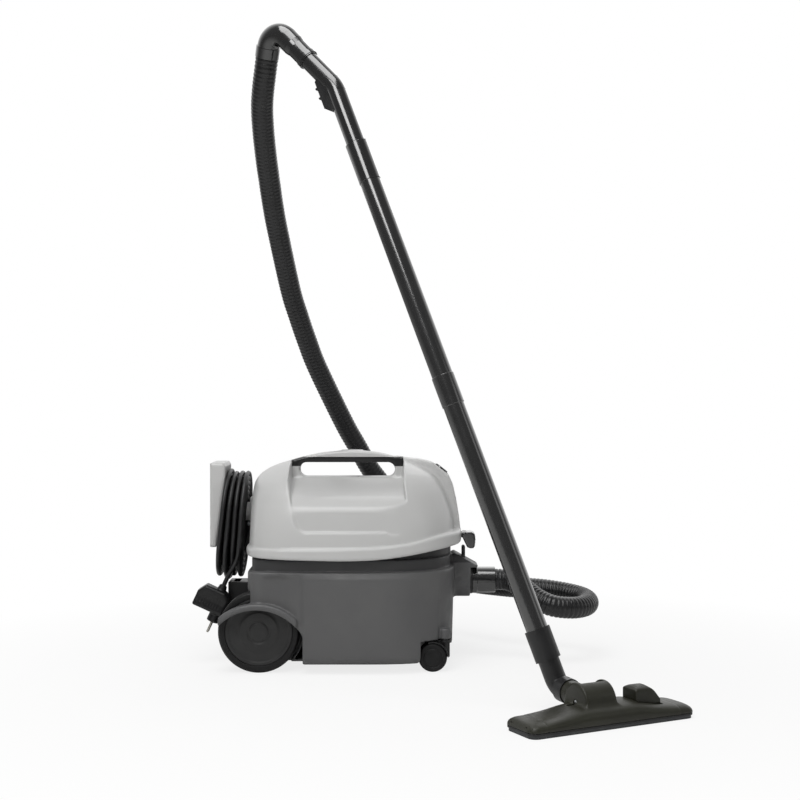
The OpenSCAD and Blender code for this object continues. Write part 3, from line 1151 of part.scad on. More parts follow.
tub();
tub_seal();
inlet_ring();
dust_bag();
bag_collar();
bag_holder();
wheel_axles();
parking_bracket();
hose();
hose_inlet_cuff();
hose_wand_cuff();
lid_cover();
lid_base();
fan_housing();
motor_frame();
lower_motor_mount();
upper_motor_mount();
filter_basket();
filter_cloth();
exhaust_filter();
button_bezel();
latch_pin();
cord_hook();
hook_screws();
lid_screws();
cord_gland();
cord_lead();
cord_hank();
cord_tail();
mains_plug();
plug_pins();
impeller();
rotor_core();
power_button();
front_latch();
wheel_disc(1);  // left_wheel_disc
tyre(1);  // left_tyre
wheel_disc(-1);  // right_wheel_disc
tyre(-1);  // right_tyre
caster_hood(1);  // left_caster_hood
caster_axle(1);  // left_caster_axle
caster_wheels(1);  // left_caster_wheels
caster_hood(-1);  // right_caster_hood
caster_axle(-1);  // right_caster_axle
caster_wheels(-1);  // right_caster_wheels
grip_tube();
regulator_housing();
regulator_slider();
wand_sleeve();
upper_tube();
lower_tube();
neck_elbow();
nozzle_yoke();
nozzle_cover();
nozzle_sole();
nozzle_bumper();
tilt_pins();
foot_pedal();
brush_frame();
brush_strips();
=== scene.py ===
"""Looks of a tub-type canister vacuum cleaner with hose, wand, floor nozzle and mains cord.

Lengths are in millimetres in the machine's own frame until solid() puts them into the part's
frame in metres: x to the machine's front, y to its left side, z up, the floor at z = 0.
"""
import functools
import json
import math

import bpy
import numpy as np
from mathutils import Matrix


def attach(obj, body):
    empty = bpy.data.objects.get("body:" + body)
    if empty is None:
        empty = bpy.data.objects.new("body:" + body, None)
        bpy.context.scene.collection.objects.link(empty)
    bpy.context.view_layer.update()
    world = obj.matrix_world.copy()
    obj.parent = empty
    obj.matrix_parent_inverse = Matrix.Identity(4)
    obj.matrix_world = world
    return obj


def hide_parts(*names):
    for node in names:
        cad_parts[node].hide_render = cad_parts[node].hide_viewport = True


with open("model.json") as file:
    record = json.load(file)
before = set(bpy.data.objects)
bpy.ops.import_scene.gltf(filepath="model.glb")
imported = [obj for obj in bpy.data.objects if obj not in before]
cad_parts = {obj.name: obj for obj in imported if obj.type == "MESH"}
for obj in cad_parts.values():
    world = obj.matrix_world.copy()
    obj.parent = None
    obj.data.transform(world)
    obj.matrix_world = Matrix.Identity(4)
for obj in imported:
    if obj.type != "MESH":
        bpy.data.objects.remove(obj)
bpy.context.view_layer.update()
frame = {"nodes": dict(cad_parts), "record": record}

# ---- camera, floor and lights ----
# A product studio: a long lens a little above the lid's height, a pale floor that runs into a
# white backdrop, a large soft light above, one in front and two weaker ones at back and side.
lens = bpy.data.cameras.new("camera")
lens.lens = 61.65
lens.sensor_width = 36
camera = bpy.data.objects.new("camera", lens)
camera.location = (-0.046, -2.300, 0.496)
look_down = 0.544                   # degrees
camera.rotation_euler = (math.radians(90 - look_down), 0, 0)
bpy.context.collection.objects.link(camera)
bpy.context.scene.camera = camera
bpy.context.scene.view_settings.view_transform = "Standard"


def linear(colour):
    """sRGB hex to linear: c / 12.92 up to 0.04045, and ((c + 0.055) / 1.055) ^ 2.4 above it."""
    c = np.array([int(colour[i : i + 2], 16) for i in (1, 3, 5)]) / 255
    return (*np.where(c <= 0.04045, c / 12.92, ((c + 0.055) / 1.055) ** 2.4).tolist(), 1.0)


def add(tree, kind, settings):
    """Adds a shader node. Keys that are its inputs are set or linked; others are properties."""
    node = tree.nodes.new("ShaderNode" + kind)
    for key, value in settings.items():
        if isinstance(key, str) and key not in node.inputs:
            setattr(node, key, value)
        elif isinstance(value, bpy.types.NodeSocket):
            tree.links.new(value, node.inputs[key])
        else:
            node.inputs[key].default_value = value
    return node


def shown_white(tree):
    """1 for rays from the camera or clear glass, and for a mirror's rays that go to the back,
    where the white backdrop stands: the front of the studio is dim."""
    ray = add(tree, "LightPath", {}).outputs
    seen = add(tree, "Math", {"operation": "MAXIMUM", 0: ray["Is Camera Ray"],
                              1: ray["Is Transmission Ray"]})
    way = add(tree, "TexCoord", {}).outputs["Generated"]
    to_back = add(tree, "SeparateXYZ", {0: way}).outputs[1]
    back = add(tree, "MapRange", {"Value": to_back, "From Min": 0.0, "From Max": 0.5})
    mirrored = add(tree, "Math", {"operation": "MULTIPLY", 0: back.outputs[0],
                                  1: ray["Is Glossy Ray"]})
    return add(tree, "Math", {"operation": "MAXIMUM", 0: seen.outputs[0],
                              1: mirrored.outputs[0]}).outputs[0]


world = bpy.data.worlds.new("backdrop")
bpy.context.scene.world = world
world.use_nodes = True
tree = world.node_tree
tree.nodes.clear()
dim = add(tree, "Background", {"Color": (1, 1, 1, 1), "Strength": 0.22})
white = add(tree, "Background", {"Color": (1, 1, 1, 1), "Strength": 1.0})
mixed = add(tree, "MixShader", {0: shown_white(tree), 1: dim.outputs[0], 2: white.outputs[0]})
add(tree, "OutputWorld", {"Surface": mixed.outputs[0]})

# matt studio paper: it keeps the soft shadow under the machine and glows to pure white further out
paper = bpy.data.materials.new("studio paper")
paper.use_nodes = True
tree = paper.node_tree
tree.nodes.clear()
matt = add(tree, "BsdfDiffuse", {"Color": linear("#F2F2F1")})
glow = add(tree, "Emission", {"Color": (1, 1, 1, 1), "Strength": 1.0})
seen = add(tree, "LightPath", {}).outputs["Is Camera Ray"]
at = add(tree, "TexCoord", {}).outputs["Object"]
far = add(tree, "VectorMath", {"operation": "LENGTH", 0: at})
fade = add(tree, "MapRange", {"Value": far.outputs["Value"], "From Min": 0.35,
                              "From Max": 1.1, "To Min": 0.8, "To Max": 1.0})
glowing = add(tree, "Math", {"operation": "MULTIPLY", 0: seen, 1: fade.outputs[0]})
mixed = add(tree, "MixShader", {0: glowing.outputs[0], 1: matt.outputs[0], 2: glow.outputs[0]})
add(tree, "OutputMaterial", {"Surface": mixed.outputs[0]})
mesh = bpy.data.meshes.new("floor")
mesh.from_pydata([(-9, -5, 0), (9, -5, 0), (9, 30, 0), (-9, 30, 0)], [], [(0, 1, 2, 3)])
mesh.materials.append(paper)
floor = bpy.data.objects.new("floor", mesh)
bpy.context.collection.objects.link(floor)

for name, at, aim, size, power in (
        ("light above", (-0.35, -0.7, 2.5), (0, 0, 0.3), (1.5, 1.5), 34),
        ("light front", (-0.75, -2.1, 1.95), (0, 0, 0.5), (1.1, 0.9), 21),
        ("light right", (2.5, -1.1, 1.5), (0, 0, 0.4), (1.0, 1.0), 2.4),
        ("light behind", (0.5, 2.2, 1.9), (0, 0.2, 0.3), (1.5, 1.5), 6)):
    lamp = bpy.data.lights.new(name, "AREA")
    lamp.shape = "RECTANGLE"
    lamp.size, lamp.size_y = size
    lamp.energy = power
    light = bpy.data.objects.new(name, lamp)
    light.location = at
    away = np.array(at) - np.array(aim)
    light.rotation_euler = (math.acos(away[2] / np.linalg.norm(away)), 0,
                            math.atan2(away[1], away[0]) + math.pi / 2)
    bpy.context.collection.objects.link(light)

# ---- hose ----
# Ribbed suction hose of black EVA, 39 mm outside and 32 mm inside, wound from one profile whose
# turns are a rib every 7 mm. It leaves the inlet cuff, loops, and ends in the handle's cuff.
shift = np.array([-130.0, 210.0, 0.0])      # from the machine's middle to the part's origin
body_of = {node: body for body, nodes in frame["record"]["behaviour"]["bodies"].items()
           for node in nodes}
hose_route = np.array([
    [240, 0, 143], [262, 0, 143], [282, -2, 142], [303, -15, 134], [319, -32, 122],
    [337, -48, 111], [361, -58, 103], [395, -50, 99], [421, -24, 99], [430, 12, 101],
    [422, 46, 104], [396, 70, 108], [360, 84, 112], [322, 100, 113], [286, 124, 112],
    [224, 180, 112], [196, 208, 120], [168, 230, 138], [140, 246, 166], [114, 254, 200],
    [90, 255, 238], [45, 241, 304], [22, 228, 336], [-1, 215, 378], [-27, 198, 426],
    [-76, 156, 532], [-95, 132, 584], [-110, 108, 632], [-123, 82, 680], [-141, 20, 781],
    [-147, -10, 824], [-151, -40, 866], [-154, -70, 904], [-155.5, -102, 943], [-155, -130, 977],
    [-151, -154, 1004], [-145.4, -173.4, 1031.1], [-142.1, -181.9, 1048.1],
    [-138.8, -190.4, 1065.1]])
hose_d = 39
rib_pitch = 7.0
rib_deep = 1.5


def metres(points):
    """Machine millimetres to the part's frame in metres: (p + shift) / 1000."""
    return (np.asarray(points, float) + shift) / 1000


def catmull(route, parts):
    """Catmull-Rom curve through the route's points, with `parts` steps to a span:
    (2b + (c-a)t + (2a-5b+4c-d)t² + (3b-a-3c+d)t³) / 2 between the points b and c."""
    p = np.vstack([2 * route[0] - route[1], route, 2 * route[-1] - route[-2]])
    u = np.minimum(np.arange(parts * (len(route) - 1) + 1) / parts, len(route) - 1 - 1e-9)
    i = np.floor(u).astype(int)
    t = (u - i)[:, None]
    a, b, c, d = p[i], p[i + 1], p[i + 2], p[i + 3]
    return (2 * b + (c - a) * t + (2 * a - 5 * b + 4 * c - d) * t ** 2
            + (3 * b - a - 3 * c + d) * t ** 3) / 2


def run_length(path):
    """Length along a path up to each of its points: the sum of the steps before it."""
    return np.concatenate([[0], np.cumsum(np.linalg.norm(np.diff(path, axis=0), axis=1))])


def even(path, step):
    """The path's points moved to equal distances of about `step` along it."""
    s = run_length(path)
    at = np.linspace(0, s[-1], int(round(s[-1] / step)) + 1)
    return np.stack([np.interp(at, s, path[:, k]) for k in range(3)], 1)


def unit(v):
    """Vectors of length 1 with the same direction: v / |v|."""
    return v / np.linalg.norm(v, axis=-1, keepdims=True)


def tube(path, radius, sides):
    """Round tube along a path, closed at both ends by a middle point:
    p(i, a) = path[i] + r[i] (cos a f[i] + sin a g[i]), where f is carried on without twist."""
    t = unit(np.gradient(path, axis=0))
    side = np.array([0.31, 0.17, 1.0])      # any way that no path starts in
    f = np.empty_like(path)
    for i, along in enumerate(t):
        side = unit(side - (side @ along) * along)
        f[i] = side
    g = np.cross(t, f)
    a = np.arange(sides) * 2 * np.pi / sides
    ring = np.cos(a)[None, :, None] * f[:, None] + np.sin(a)[None, :, None] * g[:, None]
    rings = path[:, None] + np.asarray(radius)[:, None, None] * ring
    ends = [np.repeat(path[k][None, None], sides, 1) for k in (0, -1)]
    return np.concatenate([ends[0], rings, ends[1]])


def net(rows, wrap_rows=False):
    """Points of a grid whose columns close on themselves, and its four-cornered faces."""
    n, m = rows.shape[:2]
    i, k = np.meshgrid(np.arange(n if wrap_rows else n - 1), np.arange(m), indexing="ij")
    j, q = (i + 1) % n, (k + 1) % m
    faces = np.stack([i * m + k, i * m + q, j * m + q, j * m + k], -1)
    return rows.reshape(-1, 3), faces.reshape(-1, 4)


def solid(name, points, quads, finish, *nodes):
    """Closed piece that stands for the nodes and rides where the first one does. Equal points are
    merged, a face with two equal corners becomes a triangle, and all faces are turned outwards,
    so that the volume, the sum of a.(b x c) / 6 over all triangles, is above zero."""
    key = np.round(np.asarray(points) * 2e3).astype(np.int64)
    _, first, index = np.unique(key, axis=0, return_index=True, return_inverse=True)
    points, quads = metres(points[first]), index.reshape(-1)[quads]
    same = quads == np.roll(quads, -1, axis=1)
    thin = quads[same.sum(1) == 1]
    order = (same[same.sum(1) == 1].argmax(1)[:, None] + np.array([1, 2, 3])) % 4
    tris = np.take_along_axis(thin, order, 1)
    quads = quads[same.sum(1) == 0]
    split = np.concatenate([tris, quads[:, :3], quads[:, [0, 2, 3]]])
    a, b, c = (points[split[:, k]] - points.mean(0) for k in range(3))
    if (a * np.cross(b, c)).sum() < 0:
        tris, quads = tris[:, ::-1], quads[:, ::-1]
    mesh = bpy.data.meshes.new(name)
    mesh.vertices.add(len(points))
    mesh.vertices.foreach_set("co", points.astype(np.float32).ravel())
    corners = np.concatenate([quads.ravel(), tris.ravel()])
    mesh.loops.add(len(corners))
    mesh.loops.foreach_set("vertex_index", corners)
    starts = np.concatenate([np.arange(len(quads)) * 4, len(quads) * 4 + np.arange(len(tris)) * 3])
    mesh.polygons.add(len(starts))
    mesh.polygons.foreach_set("loop_start", starts)
    mesh.polygons.foreach_set("use_smooth", np.ones(len(starts), bool))
    mesh.update(calc_edges=True)
    mesh.validate()
    mesh.materials.append(finish)
    piece = bpy.data.objects.new(name, mesh)
    bpy.context.collection.objects.link(piece)
    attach(piece, body_of[nodes[0]])
    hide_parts(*nodes)
    return piece


def start(name, colour, rough, more=None):
    """A material with its shader: the material, its tree, the shader and Object coordinates."""
    finish = bpy.data.materials.new(name)
    finish.use_nodes = True
    tree = finish.node_tree
    tree.nodes.clear()
    shader = add(tree, "BsdfPrincipled",
                 {"Base Color": linear(colour), "Roughness": rough, **(more or {})})
    add(tree, "OutputMaterial", {"Surface": shader.outputs[0]})
    return finish, tree, shader, add(tree, "TexCoord", {}).outputs["Object"]


def noise(tree, at, width, low=0.0, high=1.0, detail=3.0):
    """Clouds `width` mm across, stretched so that most of them lie between low and high."""
    cloud = add(tree, "TexNoise", {"Vector": at, "Scale": 1000 / width, "Detail": detail})
    return add(tree, "MapRange", {"Value": cloud.outputs[0], "From Min": 0.32,
                                  "From Max": 0.68, "To Min": low, "To Max": high}).outputs[0]


def moulded(name, tones, roughs, grain, deep, cloud, more=None):
    """Moulded plastic: two close tones in clouds `cloud` mm wide, gloss that changes in clouds of
    23 mm, and the mould's grain, `grain` mm across and `deep` mm deep."""
    finish, tree, shader, at = start(name, tones[0], roughs[0], more)
    tone = add(tree, "Mix", {"data_type": "RGBA", 0: noise(tree, at, cloud),
                             6: linear(tones[0]), 7: linear(tones[1])})
    tree.links.new(tone.outputs[2], shader.inputs["Base Color"])
    tree.links.new(noise(tree, at, 23, *roughs), shader.inputs["Roughness"])
    bump = add(tree, "Bump", {"Strength": 1.0, "Distance": deep / 1000,
                              "Height": noise(tree, at, grain, detail=2.0)})
    tree.links.new(bump.outputs[0], shader.inputs["Normal"])
    return finish


# EVA hose, extruded and wound: black, with a soft gloss that changes in patches
hose_eva = moulded("black EVA hose, extruded", ("#18181A", "#111112"), (0.24, 0.38), 5.0, 0.03, 60,
                   {"Specular IOR Level": 0.5})
path = even(catmull(hose_route, 24), rib_pitch / 6)
crown = np.abs(np.cos(np.pi * run_length(path) / rib_pitch)) ** 0.55
hose = solid("suction_hose", *net(tube(path, hose_d / 2 - rib_deep * (1 - crown), 28)),
             hose_eva, "hose")

# ---- mains cord ----
# Round two-core mains cord, 8 mm in black rubber, about 9.6 m long. From the gland in the lid's
# rear wall it is wound over the lid's hook in four layers, and its end hangs down to the plug.
cord_d = 8
layers = 4
loops = 23.5
loop_points = 48
hank_h = 197
hank_w = 150
hank_step = 8.8                # from loop to loop within a layer
layer_step = 10.4
layer_spread = 2.6             # how much further apart the layers hang at the foot
hank_at = np.array([-218.0, 0, 245])
hank_tilt = 5
lead_route = np.array([[-200, 95, 222], [-210, 95, 222], [-222, 94, 223], [-232, 89, 227],
                       [-236, 82, 236], [-235, 77, 247], [-233.8, 75, 254], [-233.7, 75, 261.9]])
tail_route = np.array([[-202.8, -75, 212], [-203.4, -74.8, 203], [-206, -71, 190],
                       [-213, -62, 176], [-222, -53, 162], [-229, -50, 148], [-236, -50, 132]])


def place(points, at, lean=0.0, heading=0.0):
    """Local points turned by `lean` about y, then by `heading` about z, and moved to `at`."""
    b, h = math.radians(lean), math.radians(heading)
    x = points[..., 0] * math.cos(b) + points[..., 2] * math.sin(b)
    z = points[..., 2] * math.cos(b) - points[..., 0] * math.sin(b)
    y = points[..., 1]
    return np.stack([x * math.cos(h) - y * math.sin(h), x * math.sin(h) + y * math.cos(h), z],
                    -1) + np.asarray(at, float)


def wound(turn):
    """The hank's middle line. In each quarter of the turns the loops close up or open out by a
    step a turn, and each loop is a stadium: two half circles joined by two straight runs."""
    q = loops / layers
    k = np.minimum(np.floor(turn / q), layers - 1)
    s = turn - k * q
    closed = hank_step * np.where(k % 2 == 0, s, q - s)
    width = hank_w / 2 - closed
    run = hank_h / 2 - closed - width
    f = (turn - np.floor(turn)) * 2
    up = np.where(f < 1, 1, -1)
    h = np.where(f < 1, f, f - 1) * 3
    a = np.pi * np.minimum(h, 2) / 2
    b = np.clip(h - 2, 0, 1)
    across = np.where(h < 2, width * np.cos(a), -width) * up
    high = np.where(h < 2, run + width * np.sin(a), run * (1 - 2 * b)) * up
    layer = 0
    for m in range(1, layers):
        t = np.clip((turn - m * q) / 0.5 + 0.5, 0, 1)
        layer = layer + t * t * (3 - 2 * t)
    deep = (layer - (layers - 1) / 2) * (layer_step + layer_spread * (0.5 - high / hank_h))
    return np.stack([deep, across, high], -1)


# mains cord rubber, extruded: dull black, a little greyer in patches
cord_rubber = moulded("black rubber cord, extruded", ("#232324", "#161617"), (0.34, 0.5),
                      3.0, 0.03, 45)
hank = place(wound(np.linspace(0, loops, int(loops * loop_points) + 1)), hank_at, hank_tilt)
path = even(np.vstack([catmull(lead_route, 8)[:-2], hank[1:-1], catmull(tail_route, 8)[2:]]),
            cord_d)
cord = solid("mains_cord", *net(tube(path, np.full(len(path), cord_d / 2), 12)), cord_rubber,
             "cord_lead", "cord_hank", "cord_tail")

# ---- mains plug ----
# Two-pin plug with an angled rubber body moulded on the cord, a collar at the cord's entry and
# nickel-plated brass pins 4.4 mm thick.
plug_at = (-253, -50, 115)
plug_lean = 24.6
pin_x, pin_apart, pin_r = 16, 5.5, 2.2      # pins from the plug's middle, half apart, half thick
gland_at = (-186, 95, 222)


def smax(a, b, k):
    """What two shapes share, with a fillet where they meet: the greater of their fields plus
    (k - |a - b|)² / 4k. A field is below zero inside its shape."""
    return np.maximum(a, b) + np.maximum(k - np.abs(a - b), 0) ** 2 / (4 * k)


def smin(a, b, k):
    """Two shapes joined with a fillet: the lesser of their fields less (k - |a - b|)² / 4k."""
    return -smax(-a, -b, k)


def both(*fields):
    """What shapes share, with sharp edges: the greatest of their fields."""
    return functools.reduce(np.maximum, fields)


def either(*fields):
    """Shapes joined with sharp edges: the least of their fields."""
    return functools.reduce(np.minimum, fields)


def slab(v, middle, half):
    """Field of a slab across v: |v - middle| - half."""
    return np.abs(v - middle) - half


def rod(u, v, radius):
    """Field of a round rod: sqrt(u² + v²) - radius."""
    return np.hypot(u, v) - radius


def ribs(v, pitch, width):
    """A row of ribs 1 high: exp(-((v mod pitch - pitch / 2) / width)²)."""
    return np.exp(-((np.mod(v, pitch) - pitch / 2) / width) ** 2)


def inset(corners, r):
    """A polygon's corners moved in by r: c + r (m + n) / (1 + m.n), m and n the inward normals."""
    c = np.array(corners, float)
    e = unit(np.roll(c, -1, 0) - c)
    turn = np.sign((c[:, 0] * np.roll(c[:, 1], -1) - np.roll(c[:, 0], -1) * c[:, 1]).sum())
    n = np.stack([-e[:, 1], e[:, 0]], 1) * turn
    m = np.roll(n, 1, 0)
    return c + r * (m + n) / (1 + (m * n).sum(1))[:, None]


def outline(u, v, corners, r=0.0):
    """Signed distance in a plane to a polygon with corners rounded by r, negative inside it."""
    c = inset(corners, r)
    best = np.full(np.shape(u), np.inf)
    inside = np.zeros(np.shape(u), bool)
    for a, b in zip(c, np.roll(c, -1, 0)):
        d = b - a
        t = np.clip(((u - a[0]) * d[0] + (v - a[1]) * d[1]) / (d @ d), 0, 1)
        best = np.minimum(best, (u - a[0] - t * d[0]) ** 2 + (v - a[1] - t * d[1]) ** 2)
        if a[1] != b[1]:
            over = (a[1] <= v) != (b[1] <= v)
            inside ^= over & (u < a[0] + (v - a[1]) * d[0] / d[1])
    return np.where(inside, -1, 1) * np.sqrt(best) - r


def skin(field, low, high, step):
    """Surface where field(x, y, z) = 0. Each grid cell that the surface crosses gets one point,
    at the mean of its edges' crossings, moved onto the surface by p -= f grad f / |grad f|²;
    each grid edge that it crosses gets one face, between the four cells round that edge."""
    low, high = np.array(low, float), np.array(high, float)
    size = np.ceil((high - low) / step).astype(int) + 1
    axes = [low[k] + step * np.arange(size[k]) for k in range(3)]
    f = field(*np.meshgrid(*axes, indexing="ij"))
    corner = np.array([(i, j, k) for i in (0, 1) for j in (0, 1) for k in (0, 1)])
    views = [f[i:size[0] - 1 + i, j:size[1] - 1 + j, k:size[2] - 1 + k] for i, j, k in corner]
    count = sum((v < 0).astype(int) for v in views)
    live = (count > 0) & (count < 8)
    number = np.full(live.shape, -1)
    number[live] = np.arange(live.sum())
    value = np.stack([v[live] for v in views], 1)
    total, crossings = np.zeros((len(value), 3)), np.zeros(len(value))
    for a in range(8):
        for b in range(a + 1, 8):
            if np.abs(corner[a] - corner[b]).sum() == 1:
                cut = (value[:, a] < 0) != (value[:, b] < 0)
                t = np.where(cut, value[:, a] / np.where(cut, value[:, a] - value[:, b], 1), 0)
                total += cut[:, None] * (corner[a] + t[:, None] * (corner[b] - corner[a]))
                crossings += cut
    p = low + step * (np.argwhere(live) + total / crossings[:, None])
    for _ in range(2):
        f0 = field(*p.T)
        slope = np.stack([(field(*(p + e).T) - field(*(p - e).T)) / 0.1
                          for e in np.eye(3) * 0.05], -1)
        move = -f0[:, None] * slope / np.maximum((slope ** 2).sum(1), 0.05)[:, None]
        far = np.linalg.norm(move, axis=1, keepdims=True)
        p = p + move * np.minimum(1, 0.45 * step / np.maximum(far, 1e-9))
    faces = []
    inside = f < 0
    along = np.eye(3, dtype=int)
    for k in range(3):
        u, w = along[(k + 1) % 3], along[(k + 2) % 3]
        lower = [slice(1, -1)] * 3
        upper = [slice(1, -1)] * 3
        lower[k], upper[k] = slice(0, -1), slice(1, None)
        a, b = inside[tuple(lower)], inside[tuple(upper)]
        out = a[a != b]
        e = np.argwhere(a != b) + u + w
        quad = np.stack([number[tuple(c.T)] for c in (e, e - u, e - u - w, e - w)], 1)
        faces.append(np.where(out[:, None], quad, quad[:, ::-1]))
    return p, np.concatenate(faces)


def plug_field(x, y, z):
    """Rounded prism with waisted, ribbed sides, a neck for the pins below and a collar above."""
    waist = 17 - 2.2 * np.exp(-((z + 2) / 9) ** 2)
    body = smax(outline(x, z, [[-30, -21], [30, -21], [30, 12], [18, 21], [-20, 21], [-30, 6]],
                        3.5), np.abs(y) - waist, 6)
    neck = smax(rod(x - pin_x, y, 11), slab(z, -27, 10), 2)
    collar = smax(rod(x - 8, y, 9) + (z - 21) * 0.25, slab(z, 25, 6.2), 1.5)
    collar = collar + 0.5 * ribs(z, 3.2, 0.6)
    grips = 0.6 * ribs(x + 2, 5, 0.9) * (np.abs(z + 3) < 10) * (np.abs(x) < 20)
    return smin(smin(body + grips * (np.abs(y) > 10), neck, 2.5), collar, 2)


# plug rubber, moulded under pressure: black and smooth, with a soft gloss
plug_rubber = moulded("black rubber plug, moulded", ("#151516", "#0E0E0F"), (0.3, 0.44),
                      4.0, 0.03, 30, {"Specular IOR Level": 0.4})
points, quads = skin(plug_field, (-33, -20, -40), (33, 20, 34), 1.5)
plug = solid("mains_plug_body", place(points, plug_at, plug_lean), quads, plug_rubber, "mains_plug")


def rounded(profile, r):
    """Corners of a closed profile rounded by r: points of a curve with weights (1-t)², 2t(1-t), t²
    between the two places where it leaves the corner's sides."""
    c = np.array(profile, float)
    out = []
    for before, corner, after in zip(np.roll(c, 1, 0), c, np.roll(c, -1, 0)):
        a, b = before - corner, after - corner
        reach = min(r, np.linalg.norm(a) / 2.1, np.linalg.norm(b) / 2.1)
        if abs(corner[0]) < 1e-6 or reach < 0.05:
            out.append(corner[None])
            continue
        t = np.linspace(0, 1, 4)[:, None]
        p, q = corner + unit(a) * reach, corner + unit(b) * reach
        out.append((1 - t) ** 2 * p + 2 * t * (1 - t) * corner + t ** 2 * q)
    return np.vstack(out)


def turned(profile, sides, axis="z"):
    """Turned piece: a closed profile of (radius, height) carried round the axis, y or z."""
    a = np.arange(sides) * 2 * np.pi / sides
    r, h = profile[:, 0][:, None], profile[:, 1][:, None]
    u, v, w = r * np.cos(a), r * np.sin(a), h + 0 * a
    return net(np.stack((v, w, u) if axis == "y" else (u, v, w), -1), wrap_rows=True)


def together(parts):
    """Several meshes as one: their points in one list, and faces counted on from the last."""
    before = np.cumsum([0] + [len(points) for points, _ in parts])
    return (np.vstack([points for points, _ in parts]),
            np.vstack([quads + n for (_, quads), n in zip(parts, before)]))


def metal(name, colour, rough, streak=(1, 1, 1), deep=0.01):
    """Bare metal: marks 2.5 mm coarse, stretched along one axis, and duller patches of 14 mm."""
    finish, tree, shader, at = start(name, colour, rough, {"Metallic": 1.0})
    drawn = add(tree, "Mapping", {"Vector": at, "Scale": streak}).outputs[0]
    marks = noise(tree, drawn, 2.5, detail=4.0)
    tree.links.new(noise(tree, at, 14, rough * 0.75, rough * 1.35), shader.inputs["Roughness"])
    bump = add(tree, "Bump", {"Strength": 1.0, "Distance": deep / 1000, "Height": marks})
    tree.links.new(bump.outputs[0], shader.inputs["Normal"])
    return finish


# nickel-plated brass, turned and tumbled: bright with a faint yellow warmth
plated = metal("nickel-plated brass, turned", "#B9B6AE", 0.22)
pin, quads = turned(rounded([[0, -57], [pin_r, -57], [pin_r, -26], [0, -26]], 1.2), 16)
points, quads = together([(pin + [pin_x, side, 0], quads) for side in (-pin_apart, pin_apart)])
pins = solid("plug_pin_pair", place(points, plug_at, plug_lean), quads, plated, "plug_pins")

# strain relief that the cord leaves the lid through: soft rubber, grooved so that it bends
s = np.linspace(2, 24, 45)
taper = 8 - (8 - cord_d / 2 - 1.6) * (s - 2) / 22 - 0.7 * (np.mod(s, 4.4) < 1.2)
sleeve = np.vstack([[[4, -6], [8.9, -6], [8.9, 1.6]], np.stack([taper, s], 1), [[4, 24]]])
points, quads = turned(sleeve, 28)
gland = solid("cord_strain_relief", place(points, gland_at, -90), quads, plug_rubber, "cord_gland")

# ---- tub ----
# The dust tub: one grey ABS moulding, 3.5 mm thick at its neck. Its sides carry a raised panel and
# a hollow above each wheel, its rear corners are almost square, and the neck takes the lid.
tub_top, tub_foot = 177, 16
inlet_z = 143
wheel_x, wheel_z = -161, 71
caster_x, caster_y = 163, 117


def curve(x, pairs):
    """Smooth curve through [x, value] pairs: cubic spans with the slope at each pair taken from
    its neighbours, and level beyond the two ends."""
    px, pv = np.array(pairs, float).T
    slope = np.gradient(pv, px)
    slope[[0, -1]] = 0
    i = np.clip(np.searchsorted(px, x, side="right") - 1, 0, len(px) - 2)
    w = px[i + 1] - px[i]
    t = np.clip((x - px[i]) / w, 0, 1)
    return (pv[i] * (1 + 2 * t) * (1 - t) ** 2 + pv[i + 1] * t * t * (3 - 2 * t)
            + w * t * (1 - t) * (slope[i] * (1 - t) - slope[i + 1] * t))


def oval(x, y, front, rear, half, square_front, square_rear):
    """Distance to the outline |x/a|^s + |y/b|^s = 1, with its own a and s for front and rear.
    With g = (|x/a|^s + |y/b|^s)^(1/s), the distance is about (g - 1) / |grad g|."""
    a = np.where(x > 0, front, rear)
    s = np.where(x > 0, square_front, square_rear)
    u, v = np.abs(x) / a + 1e-9, np.abs(y) / half + 1e-9
    g = (u ** s + v ** s) ** (1 / s)
    slope = np.hypot((u / g) ** (s - 1) / a, (v / g) ** (s - 1) / half)
    return (g - 1) / slope


def relief(x):
    """How far the tub's side stands out along x: hollow above the wheel, raised in the panel."""
    return curve(x, [[-170, 0], [-160, -0.8], [-146, -5.0], [-130, -6.2], [-116, -5.0],
                     [-103, -1.8], [-92, -0.1], [-86, 0], [-82, 2.2], [-76, 2.4], [146, 2.4],
                     [151, 2.2], [156, 0]])


def tub_wall(x, y, z, deep):
    """The tub's oval, `deep` inside its outer face, 4 mm narrower at the foot than at the top."""
    t = np.clip((tub_top - z) / (tub_top - tub_foot), -0.2, 1.1)
    return oval(x, y, 182 - 4 * t - deep, 182 - deep, 160 - 4 * t - deep, 3.4, 12.0)


